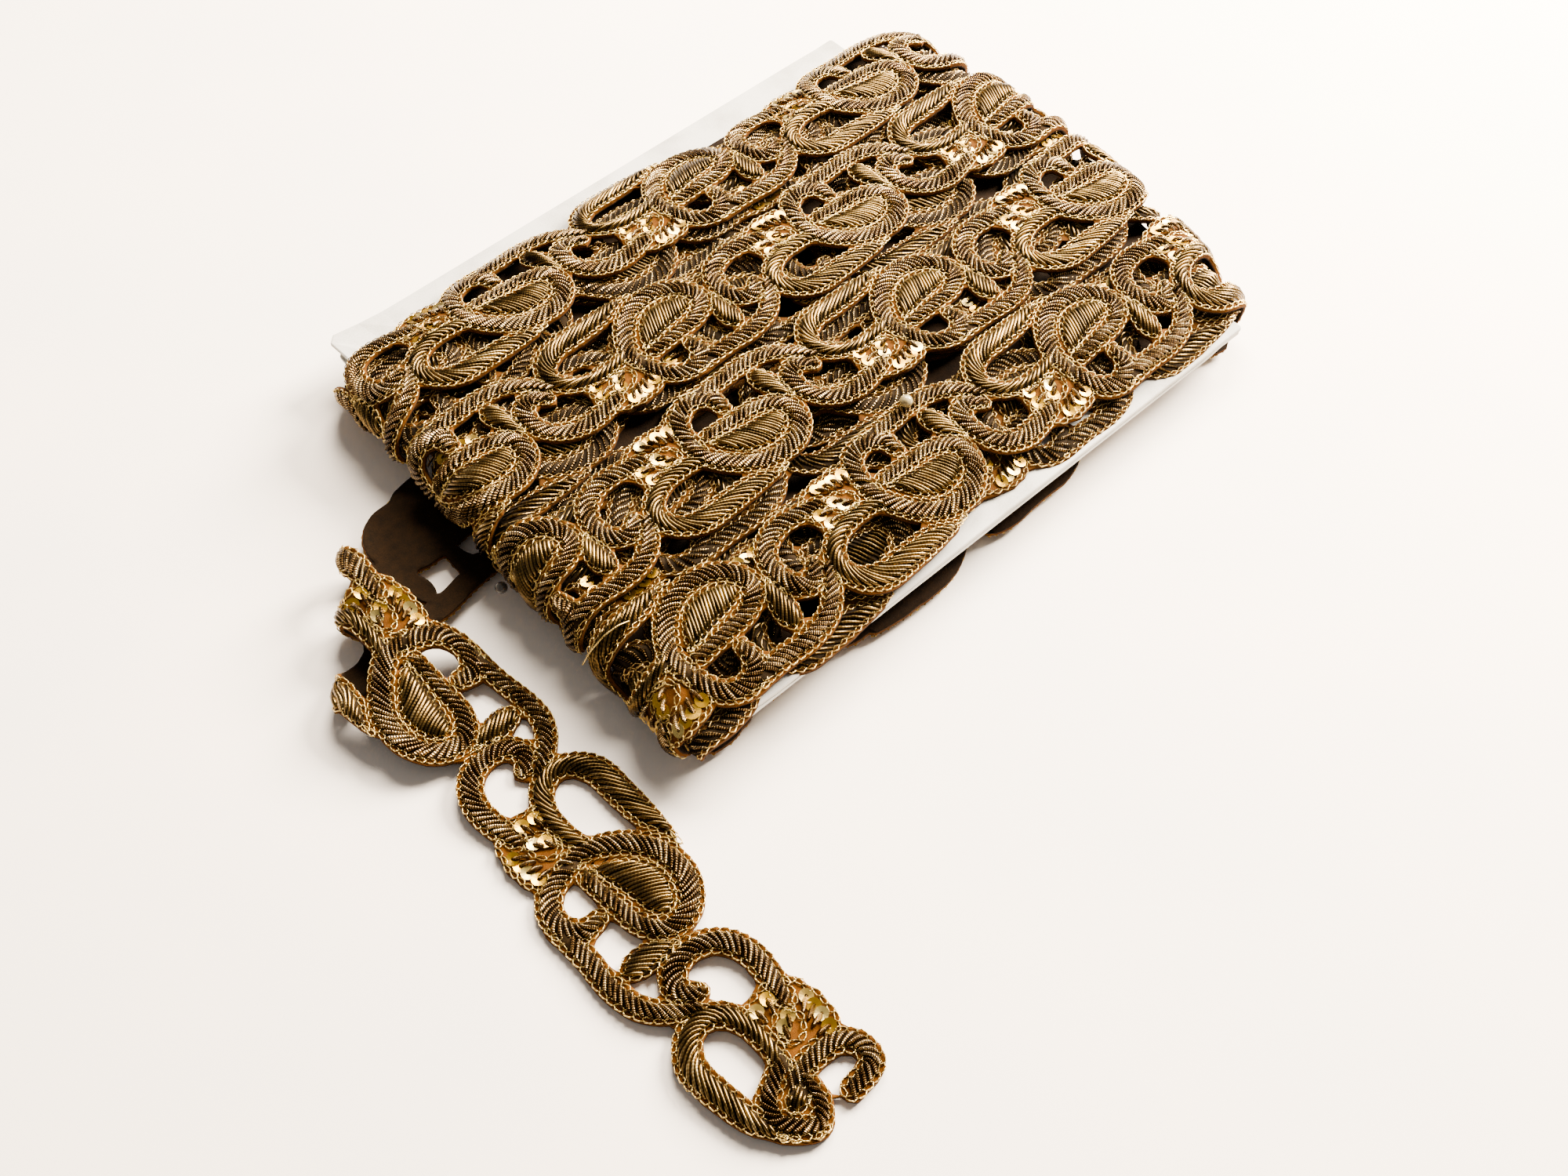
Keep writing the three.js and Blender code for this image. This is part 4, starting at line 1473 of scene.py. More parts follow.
@dataclass
class Strip:
    """A flat length of trim: which half repeats it has and where it is cut."""

    halves: list[tuple[float, int, str]]
    start: Callable[[np.ndarray], np.ndarray]
    end: Callable[[np.ndarray], np.ndarray]

    @staticmethod
    def motifs(kind: str) -> dict[str, Any]:
        """The motifs of one kind of half repeat."""
        return TIP if kind == "tip" else REPEAT

    def shapes(self) -> list[Shape]:
        """Every motif of the strip in its place."""
        return [Shape.of(motif, s0, side) for s0, side, kind in self.halves
                for motif in self.motifs(kind).values()]

    def within(self, points: np.ndarray, margin: float) -> np.ndarray:
        """Which points lie between the strip's cut ends."""
        s, t = points[:, 0], points[:, 1]
        return (s > self.start(t) + margin) & (s < self.end(t) - margin)

    def field(self, points: np.ndarray) -> np.ndarray:
        """Distance from the cut edge of the felt, negative on it, with small fillets where bands meet.

        Args:
            points: places along and across.

        Returns:
            One distance a point.
        """
        far_off, trimmed, fillet = 9.0, 0.15, 1.6
        found = np.full(len(points), far_off)
        for shape in self.shapes():
            close = np.flatnonzero(shape.near(points, 5))
            if not len(close):
                continue
            depth = shape.depth(points[close]) + trimmed
            other = found[close]
            mix = np.maximum(fillet - np.abs(depth - other), 0) / fillet
            found[close] = np.minimum(depth, other) - mix ** 2 * fillet / 4
        s, t = points[:, 0], points[:, 1]
        return np.maximum(found, np.maximum(self.start(t) - s, s - self.end(t)))

    def felt(self, step: float, thick: float = FELT, wander: float = 0.12) -> tuple[Patch, float]:
        """Cut the felt out round every motif.

        Args:
            step: width of the squares it is cut along.
            thick: felt and velvet together.
            wander: how unevenly it is cut.

        Returns:
            The closed felt, and its flat area in square millimetres.
        """
        low = min(float(self.start(np.array([t]))[0]) for t in (-STRIP_REACH, 0.0, STRIP_REACH)) - 1.5 * step
        high = max(float(self.end(np.array([t]))[0]) for t in (-STRIP_REACH, 0.0, STRIP_REACH)) + 2.5 * step
        columns, lines = np.arange(low, high, step), np.arange(-25.4, 25.5, step)
        s, t = np.meshgrid(columns, lines, indexing="ij")
        flat = np.column_stack([s.ravel(), t.ravel()])
        value = self.field(flat)
        value += wander * np.sin(flat[:, 0] * 1.9 + 3 * np.sin(flat[:, 1] * 0.7)) * np.sin(flat[:, 1] * 2.3)
        value = value.reshape(s.shape)
        value[[0, -1], :] = 5.0
        value[:, [0, -1]] = 5.0
        places: list[tuple[float, float]] = []
        known: dict[Any, int] = {}

        def corner(i: int, j: int) -> int:
            """Number of a square's corner."""
            if (i, j) not in known:
                known[i, j] = len(places)
                places.append((columns[i], lines[j]))
            return known[i, j]

        def crossing(i: int, j: int, k: int, m: int) -> int:
            """Number of the point where the edge crosses a square's side."""
            key = ((i, j), (k, m)) if (i, j) < (k, m) else ((k, m), (i, j))
            if key not in known:
                a, b = value[i, j], value[k, m]
                part = float(np.clip(a / (a - b), 0.08, 0.92))
                known[key] = len(places)
                places.append((columns[i] + (columns[k] - columns[i]) * part,
                               lines[j] + (lines[m] - lines[j]) * part))
            return known[key]

        faces: list[list[int]] = []
        edge: list[tuple[int, int]] = []
        inside = value < 0
        square = inside[:-1, :-1] | inside[1:, :-1] | inside[1:, 1:] | inside[:-1, 1:]
        for i, j in np.argwhere(square):
            ring = [(i, j), (i + 1, j), (i + 1, j + 1), (i, j + 1)]
            face: list[int] = []
            outs: list[int] = []
            for a, b in zip(ring, ring[1:] + ring[:1]):
                if inside[a]:
                    face.append(corner(*a))
                if inside[a] != inside[b]:
                    if inside[a]:
                        outs.append(len(face))
                    face.append(crossing(*a, *b))
            faces.append(face)
            edge += [(face[out], face[(out + 1) % len(face)]) for out in outs]
        count = len(places)
        flat_places = np.array(places)
        edge_points = sorted({i for pair in edge for i in pair})
        bevel = {i: 2 * count + n for n, i in enumerate(edge_points)}
        top = np.column_stack([flat_places, np.full(count, thick)])
        back = np.column_stack([flat_places, np.zeros(count)])
        middle = np.column_stack([flat_places[edge_points], np.full(len(edge_points), thick * 0.3)])
        rings = faces + [[count + i for i in face[::-1]] for face in faces]
        upper = [[b, a, bevel[a], bevel[b]] for a, b in edge]
        lower = [[bevel[b], bevel[a], count + a, count + b] for a, b in edge]
        made = Patch.made(np.vstack([top, back, middle]), rings + upper + lower, OCHRE_FELT)
        made.finish[len(faces):2 * len(faces)] = BROWN_VELVET
        made.finish[2 * len(faces) + len(upper):] = BROWN_VELVET
        made.smooth[2 * len(faces):] = False
        area = 0.0
        for face in faces:
            ring_points = flat_places[face]
            nxt = np.roll(ring_points, -1, axis=0)
            area += float((ring_points[:, 0] * nxt[:, 1] - ring_points[:, 1] * nxt[:, 0]).sum()) / 2
        return made, area

    def padding(self, step: float = 3.0) -> Patch:
        """Lay the padding cord under every band and filling.

        Args:
            step: distance between its sections.

        Returns:
            The closed ridges.
        """
        parts = []
        for shape in self.shapes():
            if isinstance(shape.motif, Band):
                parts += self.ridge(shape, step)
            elif isinstance(shape.motif, Filling) and self.within(shape.line[:, :2], 0.5).all():
                parts.append(self.mound(shape))
        return Patch.joined(parts)

    def ridge(self, shape: Shape, step: float) -> list[Patch]:
        """Padding under one band, in the stretches that lie between the cut ends."""
        every = max(1, round(step / 1.6))
        line = np.vstack([shape.line[:-1:every], shape.line[-1:]])
        section = ((-1, FELT - 0.1), (-0.8, 1.8), (0, PADDED), (0.8, 1.8), (1, FELT - 0.1))
        found = []
        for a, b in runs_of(self.within(line[:, :2], 0.5) & (line[:, 2] > 3), 2):
            part = line[a:b]
            _, across = directions(part)
            half = np.maximum(part[:, 2] / 2 - WIRE_INSET, 0.3)
            points = []
            for i in range(len(part)):
                for offset, h in section:
                    place = part[i, :2] + across[i] * half[i] * offset
                    points.append((place[0], place[1], h))
            ring = len(section)
            found.append(outward(Patch.made(points, ring_faces(len(part), ring, ends=True), PADDING)))
        return found

    def mound(self, shape: Shape) -> Patch:
        """Padding under one filling."""
        ring = shape.line[:, :2]
        middle = ring.mean(0)
        rings = [(0.88, FELT - 0.1), (0.7, 1.8), (0.35, 2.2)]
        count = len(ring)
        points = [(*(middle + (p - middle) * scale), h) for scale, h in rings for p in ring]
        points += [(*middle, PADDED), (*middle, FELT - 0.1)]
        faces = ring_faces(len(rings), count)
        faces += [[2 * count + i, 2 * count + (i + 1) % count, 3 * count] for i in range(count)]
        faces += [[(i + 1) % count, i, 3 * count + 1] for i in range(count)]
        return outward(Patch.made(points, faces, PADDING))

    def worked(self, embroidery: Embroidery, detail: Detail, seed: int) -> Patch:
        """Lay out the worked half repeats and drop what lies past the cut ends.

        Args:
            embroidery: the worked half repeats.
            detail: their grade.
            seed: which of them comes first.

        Returns:
            Wires, stitches and sequins of the strip.
        """
        parts = []
        for k, (s0, side, kind) in enumerate(self.halves):
            part = embroidery.half(detail, kind, seed + k).laid(s0, side)
            parts.append(part.kept(self.within(part.anchor, 1.2)))
        return Patch.joined(parts)


# How a length lies


def near_end_x(y: Any) -> Any:
    """Outermost reach of the winding on the side of the loose end."""
    return -128 + 0.057 * y


def far_end_x(y: Any) -> Any:
    """Outermost reach of the winding on the other side."""
    return 140.5 + 0.11 * y - 0.0014 * y * y


def near_bend_x(y: Any) -> Any:
    """Middle of the bends on the side of the loose end."""
    return near_end_x(y) + BEND_INSET


def far_bend_x(y: Any) -> Any:
    """Middle of the bends on the other side."""
    return far_end_x(y) - BEND_INSET


def eased(value: np.ndarray) -> np.ndarray:
    """Ease a number between 0 and 1, level at both ends."""
    part = np.clip(value, 0, 1)
    return part ** 3 * (part * (part * 6 - 15) + 10)


@dataclass(frozen=True)
class Turn:
    """One turn round the card: flat above, a bend at each end, flat below."""

    y: float
    yaw: float
    radius: float
    squeeze: float = 0.9
    wave: float = 0.35
    phase: float = 0.0
    inward: float = 0.0  # how much nearer the middle the edges of the winding start to slump

    def fall(self, y: np.ndarray) -> np.ndarray:
        """How far the front and back edges of the winding slump towards the card at y."""
        out = np.maximum(0, np.maximum(-77 + self.inward - y, y - 68 + self.inward))
        return np.minimum(6.0, 0.27 * out)

    def place(self, s: np.ndarray, t: np.ndarray, h: np.ndarray) -> np.ndarray:
        """Bend flat places round the card.

        Args:
            s: distance along, which is x above the card.
            t: distance across.
            h: height from the back of the felt.

        Returns:
            Places in the object.
        """
        near, far = near_bend_x(self.y), far_bend_x(self.y)
        y = self.y + t + np.clip(s, near, far) * math.tan(math.radians(self.yaw))
        y = y + 0.5 * self.wave * np.sin(s / 31 + self.phase)
        y = y + 0.3 * self.wave * np.sin(s / 13 + 2 * self.phase)
        near_end, far_end = near_bend_x(y), far_bend_x(y)
        over = np.where(s < near_end, near_end - s, np.where(s > far_end, s - far_end, 0.0))
        way = np.where(s < near_end, -1.0, 1.0)
        end = np.where(s < near_end, near_end, far_end)
        angle = np.minimum(over / self.radius, math.pi)
        beyond = over - angle * self.radius
        reach = self.radius - self.squeeze * eased((angle - 1.75) / 1.39) + h
        lift = self.wave * np.sin(s / 23 + t / 17 + self.phase) * np.cos(angle) * np.where(angle < 1.57, 1, 0)
        x = np.where(over > 0, end + way * (reach * np.sin(angle) - beyond), s)
        level = np.cos(angle)
        z = CARD_MID_Z + reach * level + lift - self.fall(y) * np.maximum(0, level)
        return np.column_stack([x, y, z])

    def cut(self, near: float | None, far: float | None) -> tuple[Callable, Callable]:
        """Where a strip is cut, so many radians round each bend.

        Args:
            near: angle round the bend on the side of the loose end, or None for the flat.
            far: angle round the other bend, or None.

        Returns:
            Functions of the distance across.
        """
        def start(t: Any) -> Any:
            """First place along."""
            return near_bend_x(self.y + t) - self.radius * (near or 0)

        def end(t: Any) -> Any:
            """Last place along."""
            return far_bend_x(self.y + t) + self.radius * (far or 0)

        return start, end

    def below(self) -> tuple[Callable, Callable]:
        """Where the underside of the turn starts and ends, past the far bend."""
        def start(t: Any) -> Any:
            """First place along."""
            return far_bend_x(self.y + t) + self.radius * math.radians(146)

        def end(t: Any) -> Any:
            """Last place along, beside the near bend."""
            past = far_bend_x(self.y + t)
            return past + self.radius * math.pi + past - near_bend_x(self.y + t)

        return start, end

    def strip(self, cut: tuple[Callable, Callable], phase: float) -> Strip:
        """The flat strip between two cuts.

        Args:
            cut: functions of the distance across.
            phase: where an unmirrored half repeat starts.

        Returns:
            The strip.
        """
        low = min(float(cut[0](t)) for t in (-STRIP_REACH, 0.0, STRIP_REACH))
        high = max(float(cut[1](t)) for t in (-STRIP_REACH, 0.0, STRIP_REACH))
        first = math.floor((low - phase) / HALF_REPEAT) - 1
        last = math.ceil((high - phase) / HALF_REPEAT)
        halves = [(phase + k * HALF_REPEAT, 1 if k % 2 == 0 else -1, "middle")
                  for k in range(first, last + 1)]
        halves = [half for half in halves if half[0] + 96 > low and half[0] - 2 < high]
        return Strip(halves, *cut)


@dataclass(frozen=True)
class Fold:
    """The slanting fold of the loose end, and how it falls to the surface."""

    x: float = -164  # middle of the fold's crease
    y: float = 8
    angle: float = 46.5  # of the crease, in degrees from the x axis
    low: float = 3.4  # height of the lower layer's upper side
    radius: float = 4.5  # of the fold
    taper: float = 0.1  # how much wider the fold gets along the crease
    short: float = -30  # ends of that taper
    long: float = 40
    start: float = -4.4  # where on the strip the crease lies
    fall: float = 55  # over which the upper layer comes down to the surface

    def place(self, s: np.ndarray, t: np.ndarray, h: np.ndarray) -> np.ndarray:
        """Fold flat places over.

        Args:
            s: distance along from the fold.
            t: distance across.
            h: height from the back of the felt.

        Returns:
            Places in the object.
        """
        turn = math.radians(self.angle)
        cos, sin = math.cos(turn), math.sin(turn)
        across = t * sin + (s + self.start) * cos
        along = t * cos - (s + self.start) * sin
        radius = self.radius + self.taper * np.clip(along, self.short, self.long)
        half = math.pi * radius / 2
        angle = np.clip(across / radius, -math.pi / 2, math.pi / 2)
        past = np.maximum(0, np.abs(across) - half)
        out = past - (radius + h) * np.cos(angle)
        x = self.x + along * cos + out * sin
        y = self.y + along * sin - out * cos
        rolled = self.low + radius + (radius + h) * np.sin(angle)
        settled = (self.low + 2 * radius) * (1 - eased(past / self.fall)) + h
        ripple = 0.5 * np.clip((past - 50) / 40, 0, 1) * (1 + np.sin(s / 19 + t / 11))
        z = np.where(across <= half, rolled, settled + ripple)
        return np.column_stack([x, y, z])


# Sub-assemblies


@dataclass
class OuterTurn:
    """The outermost turn of one row."""

    number: int
    turn: Turn
    phase: float
    near: float
    far: float
    slip: float = 0.0  # how far its underside has slipped to the front
    grid: float = 2.0

    def build(self, embroidery: Embroidery) -> None:
        """Cut, work and wind one row.

        Args:
            embroidery: the worked half repeats.
        """
        cut = self.turn.cut(math.radians(90 + self.near), math.radians(90 + self.far))
        strip = self.turn.strip(cut, self.phase)
        felt, _ = strip.felt(self.grid)
        body = Patch.joined([felt, strip.padding()]).placed(self.turn.place)
        work = strip.worked(embroidery, Detail.FINE, self.number).placed(self.turn.place)
        node = f"outer_turn_{self.number}"
        for name, patch in ((f"{node}_felt", body), (f"{node}_embroidery", work)):
            piece = show(patch.mesh(name, FINISHES), name)
            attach(piece, "root")
            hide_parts(node)
            LOG.info("%s: %d triangles", name, patch.triangles())


@dataclass
class InnerTurns:
    """The turns below: two openwork layers, the wound core, and the underside of the outer turns."""

    outer: Sequence[OuterTurn]
    rows: tuple[tuple[float, float, float], ...] = (
        (58, 0.5, 12), (13, -0.4, -52), (-34, 0.3, 34), (-77.6, -0.2, -17))
    deep_rows: tuple[tuple[float, float, float], ...] = (
        (62, -0.5, -30), (23, 0.3, 22), (-24, 0.4, -64), (-75.5, 0.2, 45))
    level_mid: float = 4  # middle of what lies level above the card
    level_half: float = 108  # half its length
    cover_half: float = 24  # half the width of a covering strip
    buried: float = 3.2  # how far inside the edge of the felt above nothing shows

    def build(self, embroidery: Embroidery) -> None:
        """Wind the inner layers and the underside."""
        covers = [(row.turn, row.turn.strip(row.turn.cut(2.5, 2.5), row.phase)) for row in self.outer]
        for number, (y, yaw, phase) in enumerate(self.rows, 1):
            turn = Turn(y, yaw, radius=6.5, squeeze=0.0, wave=0.2, phase=number, inward=1.5)
            strip = turn.strip(turn.cut(1.9, 1.9), phase)
            felt, _ = strip.felt(2.6)
            work = strip.worked(embroidery, Detail.COARSE, number)
            work = work.kept(self.seen(work.anchor, turn, covers))
            self.add(f"second_turn_{number}", Patch.joined([felt, strip.padding(), work]).placed(turn.place))
            covers.append((turn, strip))
        for number, (y, yaw, phase) in enumerate(self.deep_rows, 1):
            turn = Turn(y, yaw, radius=3.3, squeeze=0.0, wave=0.2, phase=2 * number, inward=2.5)
            strip = turn.strip(turn.cut(1.6, 1.6), phase)
            felt, _ = strip.felt(2.8)
            work = strip.worked(embroidery, Detail.COARSE, number)
            work = work.kept(self.seen(work.anchor, turn, covers))
            self.add(f"third_turn_{number}", Patch.joined([felt, strip.padding(), work]).placed(turn.place))
        for row in self.outer:
            strip = row.turn.strip(row.turn.below(), row.phase)
            felt, _ = strip.felt(2.6)
            work = strip.worked(embroidery, Detail.COARSE, row.number)
            slipped = replace(row.turn, y=row.turn.y - row.slip)
            self.add(f"underside_turn_{row.number}",
                     Patch.joined([felt, strip.padding(), work]).placed(slipped.place))
        self.core()

    def seen(self, anchor: np.ndarray, turn: Turn, covers: Sequence[tuple[Turn, Strip]]) -> np.ndarray:
        """Which stitches of a lower layer aren't buried under the felt of the outer turns.

        Args:
            anchor: flat place of each point's wire or link.
            turn: the lower layer's turn.
            covers: the outer turns and their strips.

        Returns:
            One truth value a point.
        """
        unique, back = np.unique(anchor, axis=0, return_inverse=True)
        spots = turn.place(unique[:, 0], unique[:, 1], np.full(len(unique), 3.0))
        hidden = np.zeros(len(unique), bool)
        for cover, strip in covers:
            y = spots[:, 1] - cover.y - spots[:, 0] * math.tan(math.radians(cover.yaw))
            flat = np.column_stack([spots[:, 0], y])
            level = np.abs(spots[:, 0] - self.level_mid) < self.level_half
            close = np.flatnonzero((np.abs(y) < self.cover_half) & level)
            hidden[close] |= strip.field(flat[close]) < -self.buried
        return ~hidden[back.ravel()]

    def add(self, name: str, patch: Patch) -> None:
        """Show one inner piece, in the darker copies of the finishes as painted shade."""
        piece = show(patch.mesh(name, SHADED), name)
        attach(piece, "root")
        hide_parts("inner_turns")
        LOG.info("%s: %d triangles", name, patch.triangles())

    def core(self, rows: int = 60, radius: float = 2.9) -> None:
        """The innermost turns, seen only as dark folds through the openwork.

        Args:
            rows: how many sections it has from front to back.
            radius: half its thickness.
        """
        bend = np.linspace(0, math.pi, 7)
        points: list[tuple[float, float, float]] = []
        for y in np.linspace(-88, 84, rows):
            thick = radius + 0.2 * math.sin(y / 3.1) + 0.14 * math.sin(y / 1.3)
            far, near = far_bend_x(y), near_bend_x(y)
            points += [(far + thick * math.sin(a), y, CARD_MID_Z + thick * math.cos(a)) for a in bend]
            points += [(near - thick * math.sin(a), y, CARD_MID_Z - thick * math.cos(a)) for a in bend]
        ring = 2 * len(bend)
        self.add("wound_core", outward(Patch.made(points, ring_faces(rows, ring, ends=True), BROWN_VELVET)))


@dataclass
class LooseEnd:
    """The end of the trim: it comes off under the second row, folds over and lies face up."""

    fold: Fold = field(default_factory=Fold)
    root: float = -52
    tip: float = 206
    width: float = 46

    def build(self, embroidery: Embroidery) -> None:
        """Cut, work and fold the loose end."""
        halves = [(-80.0, 1, "middle"), (0.0, -1, "middle"), (80.0, 1, "last"), (160.0, -1, "tip")]
        strip = Strip(halves, lambda t: self.root + 0 * t, lambda t: self.tip + 0 * t)
        felt, area = strip.felt(1.8)
        body = felt.placed(self.fold.place)
        worked = strip.worked(embroidery, Detail.FINE, 1)
        work = Patch.joined([strip.padding(), worked]).placed(self.fold.place)
        cloth = show(body.mesh("loose_end_felt", FINISHES), "loose_end_felt")
        stitched = show(work.mesh("loose_end_embroidery", FINISHES), "loose_end_embroidery")
        for piece in (cloth, stitched):
            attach(piece, "root")
            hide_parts("loose_end")
        LOG.info("loose end: %d triangles, flat area %.0f mm2", body.triangles() + work.triangles(), area)


@dataclass
class StrayBead:
    """A small bead caught in the trim, at rest on what lies under it."""

    name: str
    finish: Bead
    x: float
    y: float
    radius: float
    height: float | None = None  # given where nothing lies under it
    sides: int = 16
    squash: float = 0.88  # its height to its width
    sunk: float = 0.86  # height of its middle above what carries it, in radii

    def build(self) -> None:
        """Let the bead down onto what carries it."""
        height = self.height
        if height is None:
            bpy.context.view_layer.update()
            graph = bpy.context.evaluated_depsgraph_get()
            found, under, *_ = bpy.context.scene.ray_cast(graph, (self.x * MM, self.y * MM, 0.1), (0, 0, -1))
            height = (under.z / MM if found else 0.0) + self.radius * self.sunk
        half = self.radius * self.squash
        points = [(self.x, self.y, height + half), (self.x, self.y, height - half)]
        levels = np.linspace(0, math.pi, self.sides // 2 + 1)[1:-1]
        for tilt in levels:
            for turn in np.linspace(0, 2 * math.pi, self.sides, endpoint=False):
                points.append((self.x + self.radius * math.sin(tilt) * math.cos(turn),
                               self.y + self.radius * math.sin(tilt) * math.sin(turn),
                               height + half * math.cos(tilt)))
        ring = range(self.sides)
        faces = [[0, 2 + j, 2 + (j + 1) % self.sides] for j in ring]
        faces += [[2 + i for i in face[::-1]] for face in ring_faces(len(levels), self.sides)]
        last = 2 + (len(levels) - 1) * self.sides
        faces += [[1, last + (j + 1) % self.sides, last + j] for j in ring]
        patch = outward(Patch.made(points, faces))
        piece = show(patch.mesh(self.name, (self.finish,)), self.name)
        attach(piece, "root")
        LOG.info("%s: %d triangles", self.name, patch.triangles())


@dataclass
class StrayThread:
    """A loose end of the pale thread, lying over the near bend."""

    knots: tuple[tuple[float, float, float], ...] = (
        (-118, -58.9, 25.4), (-121.5, -58.3, 26.1), (-126, -57.6, 25), (-130.5, -56.8, 21.4),
        (-133.4, -56.2, 17))
    thick: float = 0.45
    length: float = 17

    def build(self) -> None:
        """Spin the thread through its knots."""
        at = np.linspace(0, len(self.knots) - 1, 25)
        path = np.column_stack([np.interp(at, range(len(self.knots)), axis)
                                for axis in np.transpose(self.knots)])
        path[1:-1] = (path[:-2] + 2 * path[1:-1] + path[2:]) / 4
        patch = tube_patch(path, [self.thick / 2] * len(path), 6, False, self.length)
        piece = show(patch.mesh("stray_thread", (FINISHES[STITCH],)), "stray_thread")
        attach(piece, "root")
        LOG.info("stray thread: %d triangles", patch.triangles())


@dataclass
class Card:
    """Two thicknesses of white board, a little out of square, with worn corners at one end."""

    corners: tuple[tuple[float, float], ...] = ((-120.5, -97.5), (105.5, -102.5), (119, 100), (-112.5, 97.5))
    ply: float = 1.45
    bevel: float = 0.15  # of a ply's cut edge, and the gap between the plies
    lift: float = 2.6  # of the upper ply at the torn corner
    lifted: float = 22  # how far from that corner the lift reaches
    worn: tuple[float, float] = (5.5, 2.5)  # how much of the worn corners each ply has lost

    def outline(self, seed: int, worn: float) -> list[tuple[float, float]]:
        """Draw the board's edge, ragged at the two worn corners.

        Args:
            seed: seed of its raggedness.
            worn: how far the worn corners are gone.

        Returns:
            Corners of the outline, counter-clockwise.
        """
        chance = np.random.default_rng(seed)
        a, b, c, d = (np.array(corner) for corner in self.corners)
        whole, frayed, straight = 0.8, 16, 0.12
        ring: list[np.ndarray] = []
        for start, end, cut_start, cut_end in ((a, b, worn, whole), (b, c, whole, whole), (c, d, whole, worn),
                                               (d, a, worn, worn)):
            length = float(np.linalg.norm(end - start))
            along = (end - start) / length
            inward = np.array([-along[1], along[0]])
            for part in np.linspace(cut_start, length - cut_end, 26):
                edge = min(part, length - part)
                gone = edge < frayed and max(cut_start, cut_end) > whole
                ragged = chance.uniform(0, whole) if gone else straight
                ring.append(start + along * part + inward * ragged)
        return [(float(p[0]), float(p[1])) for p in ring]

    def build(self) -> None:
        """Cut both plies and the lifted corner."""
        plies = []
        lows = (CARD_MID_Z - CARD_THICK / 2, CARD_MID_Z + self.bevel)
        for seed, low, worn, lift in zip((3, 5), lows, self.worn, (0.0, self.lift)):
            ring = self.outline(seed, worn)
            count = len(ring)
            centre = np.mean(ring, axis=0)
            points = []
            top, flat, rim = low + self.ply, 0.9, 0.997
            levels = ((1.0, low + self.bevel), (1.0, top - self.bevel), (rim, top), (flat, top), (flat, low),
                      (rim, low))
            for scale, z in levels:
                for p in ring:
                    place = centre + (np.array(p) - centre) * scale
                    rise = lift * max(0.0, 1 - math.dist(p, self.corners[3]) / self.lifted)
                    points.append((place[0], place[1], z + rise * max(0.0, (scale - flat) / (1 - flat))))
            faces = [[i % len(points) for i in face] for face in ring_faces(len(levels) + 1, count)]
            shell = Patch.made(points, faces[:3 * count] + faces[4 * count:6 * count]
                               + [[3 * count + i for i in range(count)],
                                  [4 * count + i for i in range(count)][::-1]], smooth=False)
            plies.append(outward(shell))
        patch = Patch.joined(plies)
        piece = show(patch.mesh("folded_card", (WHITE_BOARD,)), "folded_card")
        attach(piece, "root")
        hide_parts("card")
        LOG.info("card: %d triangles", patch.triangles())


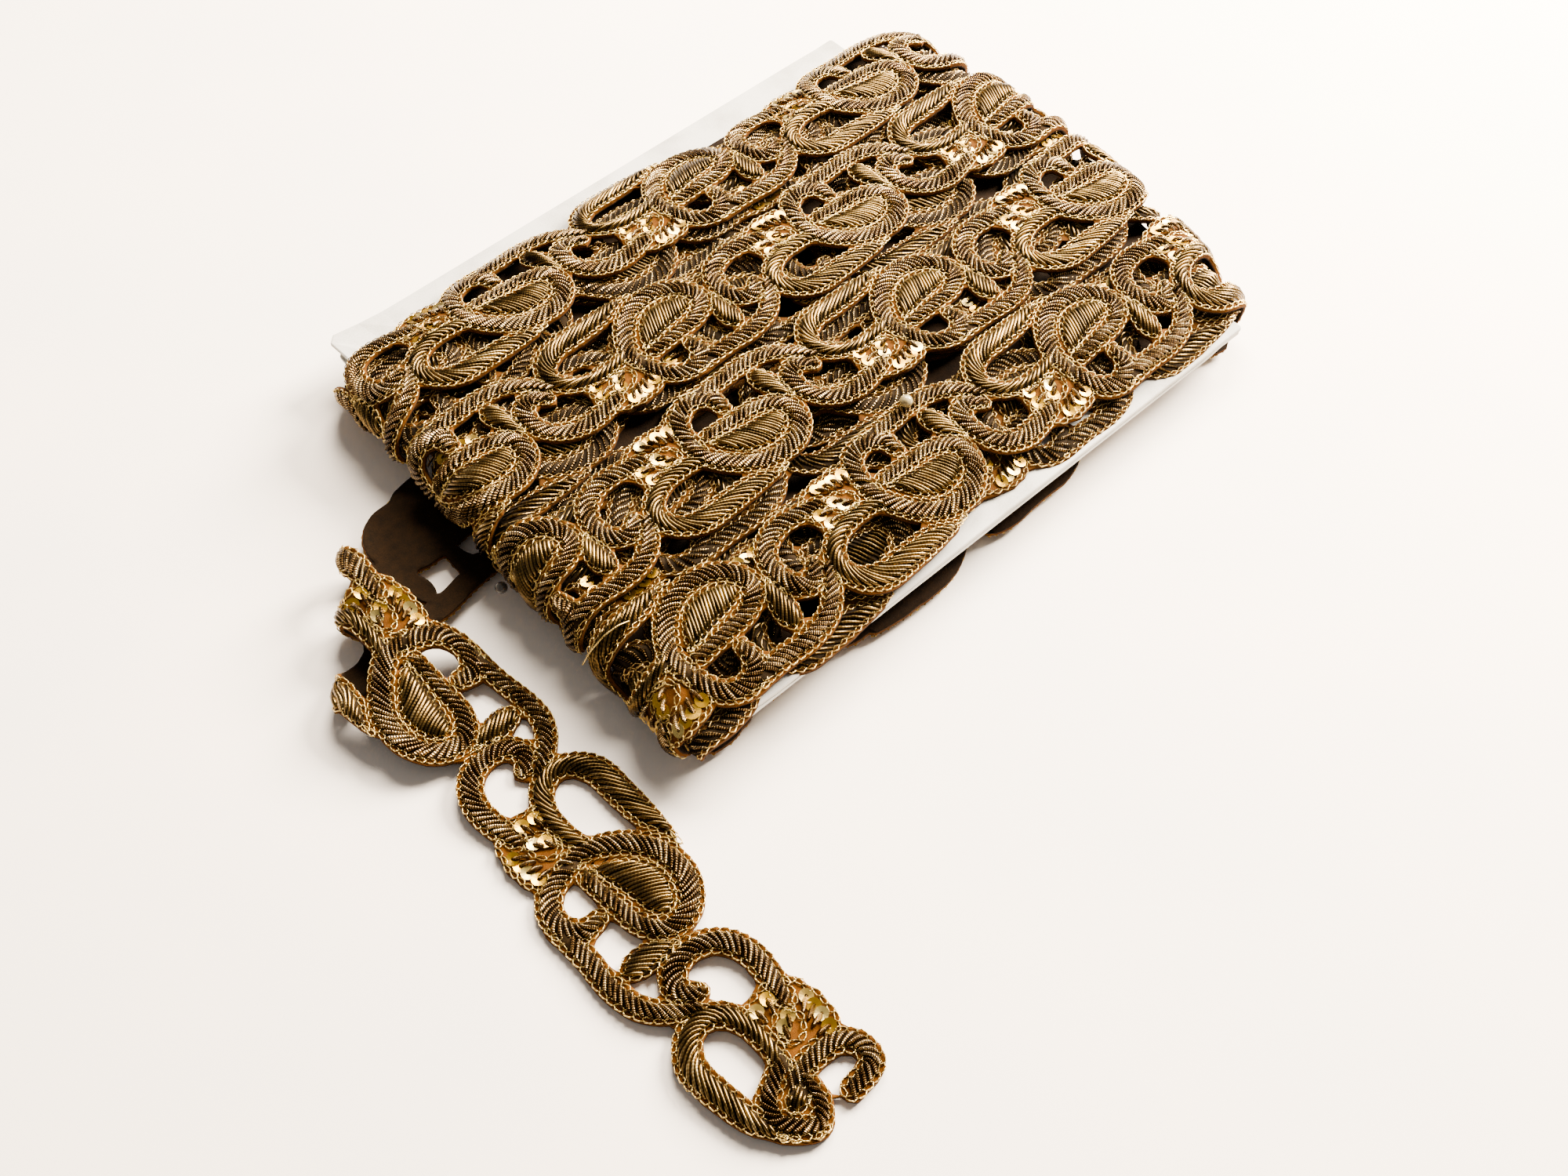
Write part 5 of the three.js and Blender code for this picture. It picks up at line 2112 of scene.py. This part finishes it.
@dataclass
class Studio:
    """Plain pale floor, soft light from the far end, and the camera at the photo's angle."""

    place: tuple[float, float, float] = (-0.257, -0.2634, 0.376)
    turn: tuple[float, float, float] = (36, 0, -44)

    def build(self) -> None:
        """Set up the floor, lights and camera."""
        half, under = 3.0, -0.0004
        corners = [(x * half, y * half, under) for x, y in ((-1, -1), (1, -1), (1, 1), (-1, 1))]
        mesh = bpy.data.meshes.new("paper_sweep")
        mesh.from_pydata(corners, [], [tuple(range(len(corners)))])
        mesh.materials.append(Sweep("white paper sweep", "#F1EBE5", "#FFF3E8").material())
        show(mesh, "paper_sweep")
        world = bpy.data.worlds.new("soft room")
        world.use_nodes = True
        world.node_tree.nodes.clear()
        sky = put(world.node_tree, "ShaderNodeBackground", {"Color": linear("#FBF3EA"), "Strength": 0.3})
        put(world.node_tree, "ShaderNodeOutputWorld", {"Surface": sky.outputs["Background"]})
        bpy.context.scene.world = world
        self.light("key", (1.0, -0.1, 0.62), (0.0, 0.0, 0.0), 0.55, 190.0, "#FFF0DC")
        self.light("window", (0.6, 0.5, 0.9), (0.0, 0.0, 0.0), 0.6, 75.0, "#FFF1DE")
        lens = bpy.data.cameras.new("camera")
        lens.lens = 36
        lens.sensor_width = 36
        lens.clip_start = 0.01
        camera = bpy.data.objects.new("camera", lens)
        camera.location = self.place
        camera.rotation_euler = [math.radians(angle) for angle in self.turn]
        bpy.context.scene.collection.objects.link(camera)
        bpy.context.scene.camera = camera

    def light(self, name: str, place: tuple[float, float, float], aim: tuple[float, float, float],
              size: float, power: float, colour: str) -> None:
        """Hang one soft light.

        Args:
            name: its name.
            place: where it hangs.
            aim: what it points at.
            size: width of its face.
            power: watts.
            colour: its colour.
        """
        data = bpy.data.lights.new(name, "AREA")
        data.size = size
        data.energy = power
        data.color = linear(colour)[:3]
        lamp = bpy.data.objects.new(name, data)
        lamp.location = place
        away = np.array(place) - np.array(aim)
        lamp.rotation_euler = (math.atan2(math.hypot(away[0], away[1]), away[2]), 0,
                               math.atan2(away[1], away[0]) + math.pi / 2)
        bpy.context.scene.collection.objects.link(lamp)


def main() -> None:
    """Build the trim on its card."""
    logging.basicConfig(level=logging.INFO, format="%(name)s: %(message)s")
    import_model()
    Studio().build()
    embroidery = Embroidery()
    turns = [
        OuterTurn(1, Turn(66, -0.6, 9.8, phase=0.4), -25, 56, 56),
        OuterTurn(2, Turn(19, 0.5, 9.8, phase=1.7), -78, 30, 56),
        OuterTurn(3, Turn(-28, -0.4, 9.8, phase=2.9), -10, 56, 56),
        OuterTurn(4, Turn(-75, 0.3, 9.8, phase=4.1), 16, 56, 56, slip=3.5),
    ]
    for turn in turns:
        turn.build(embroidery)
    InnerTurns(turns).build(embroidery)
    LooseEnd().build(embroidery)
    Card().build()
    StrayBead("cream_bead", CREAM_GLASS, -6, -56.5, 2.1).build()
    StrayBead("grey_bead", GREY_GLASS, near_end_x(-14) - 1.4, -14, 1.9, 8.0).build()
    StrayThread().build()


if __name__ == "__main__":
    main()
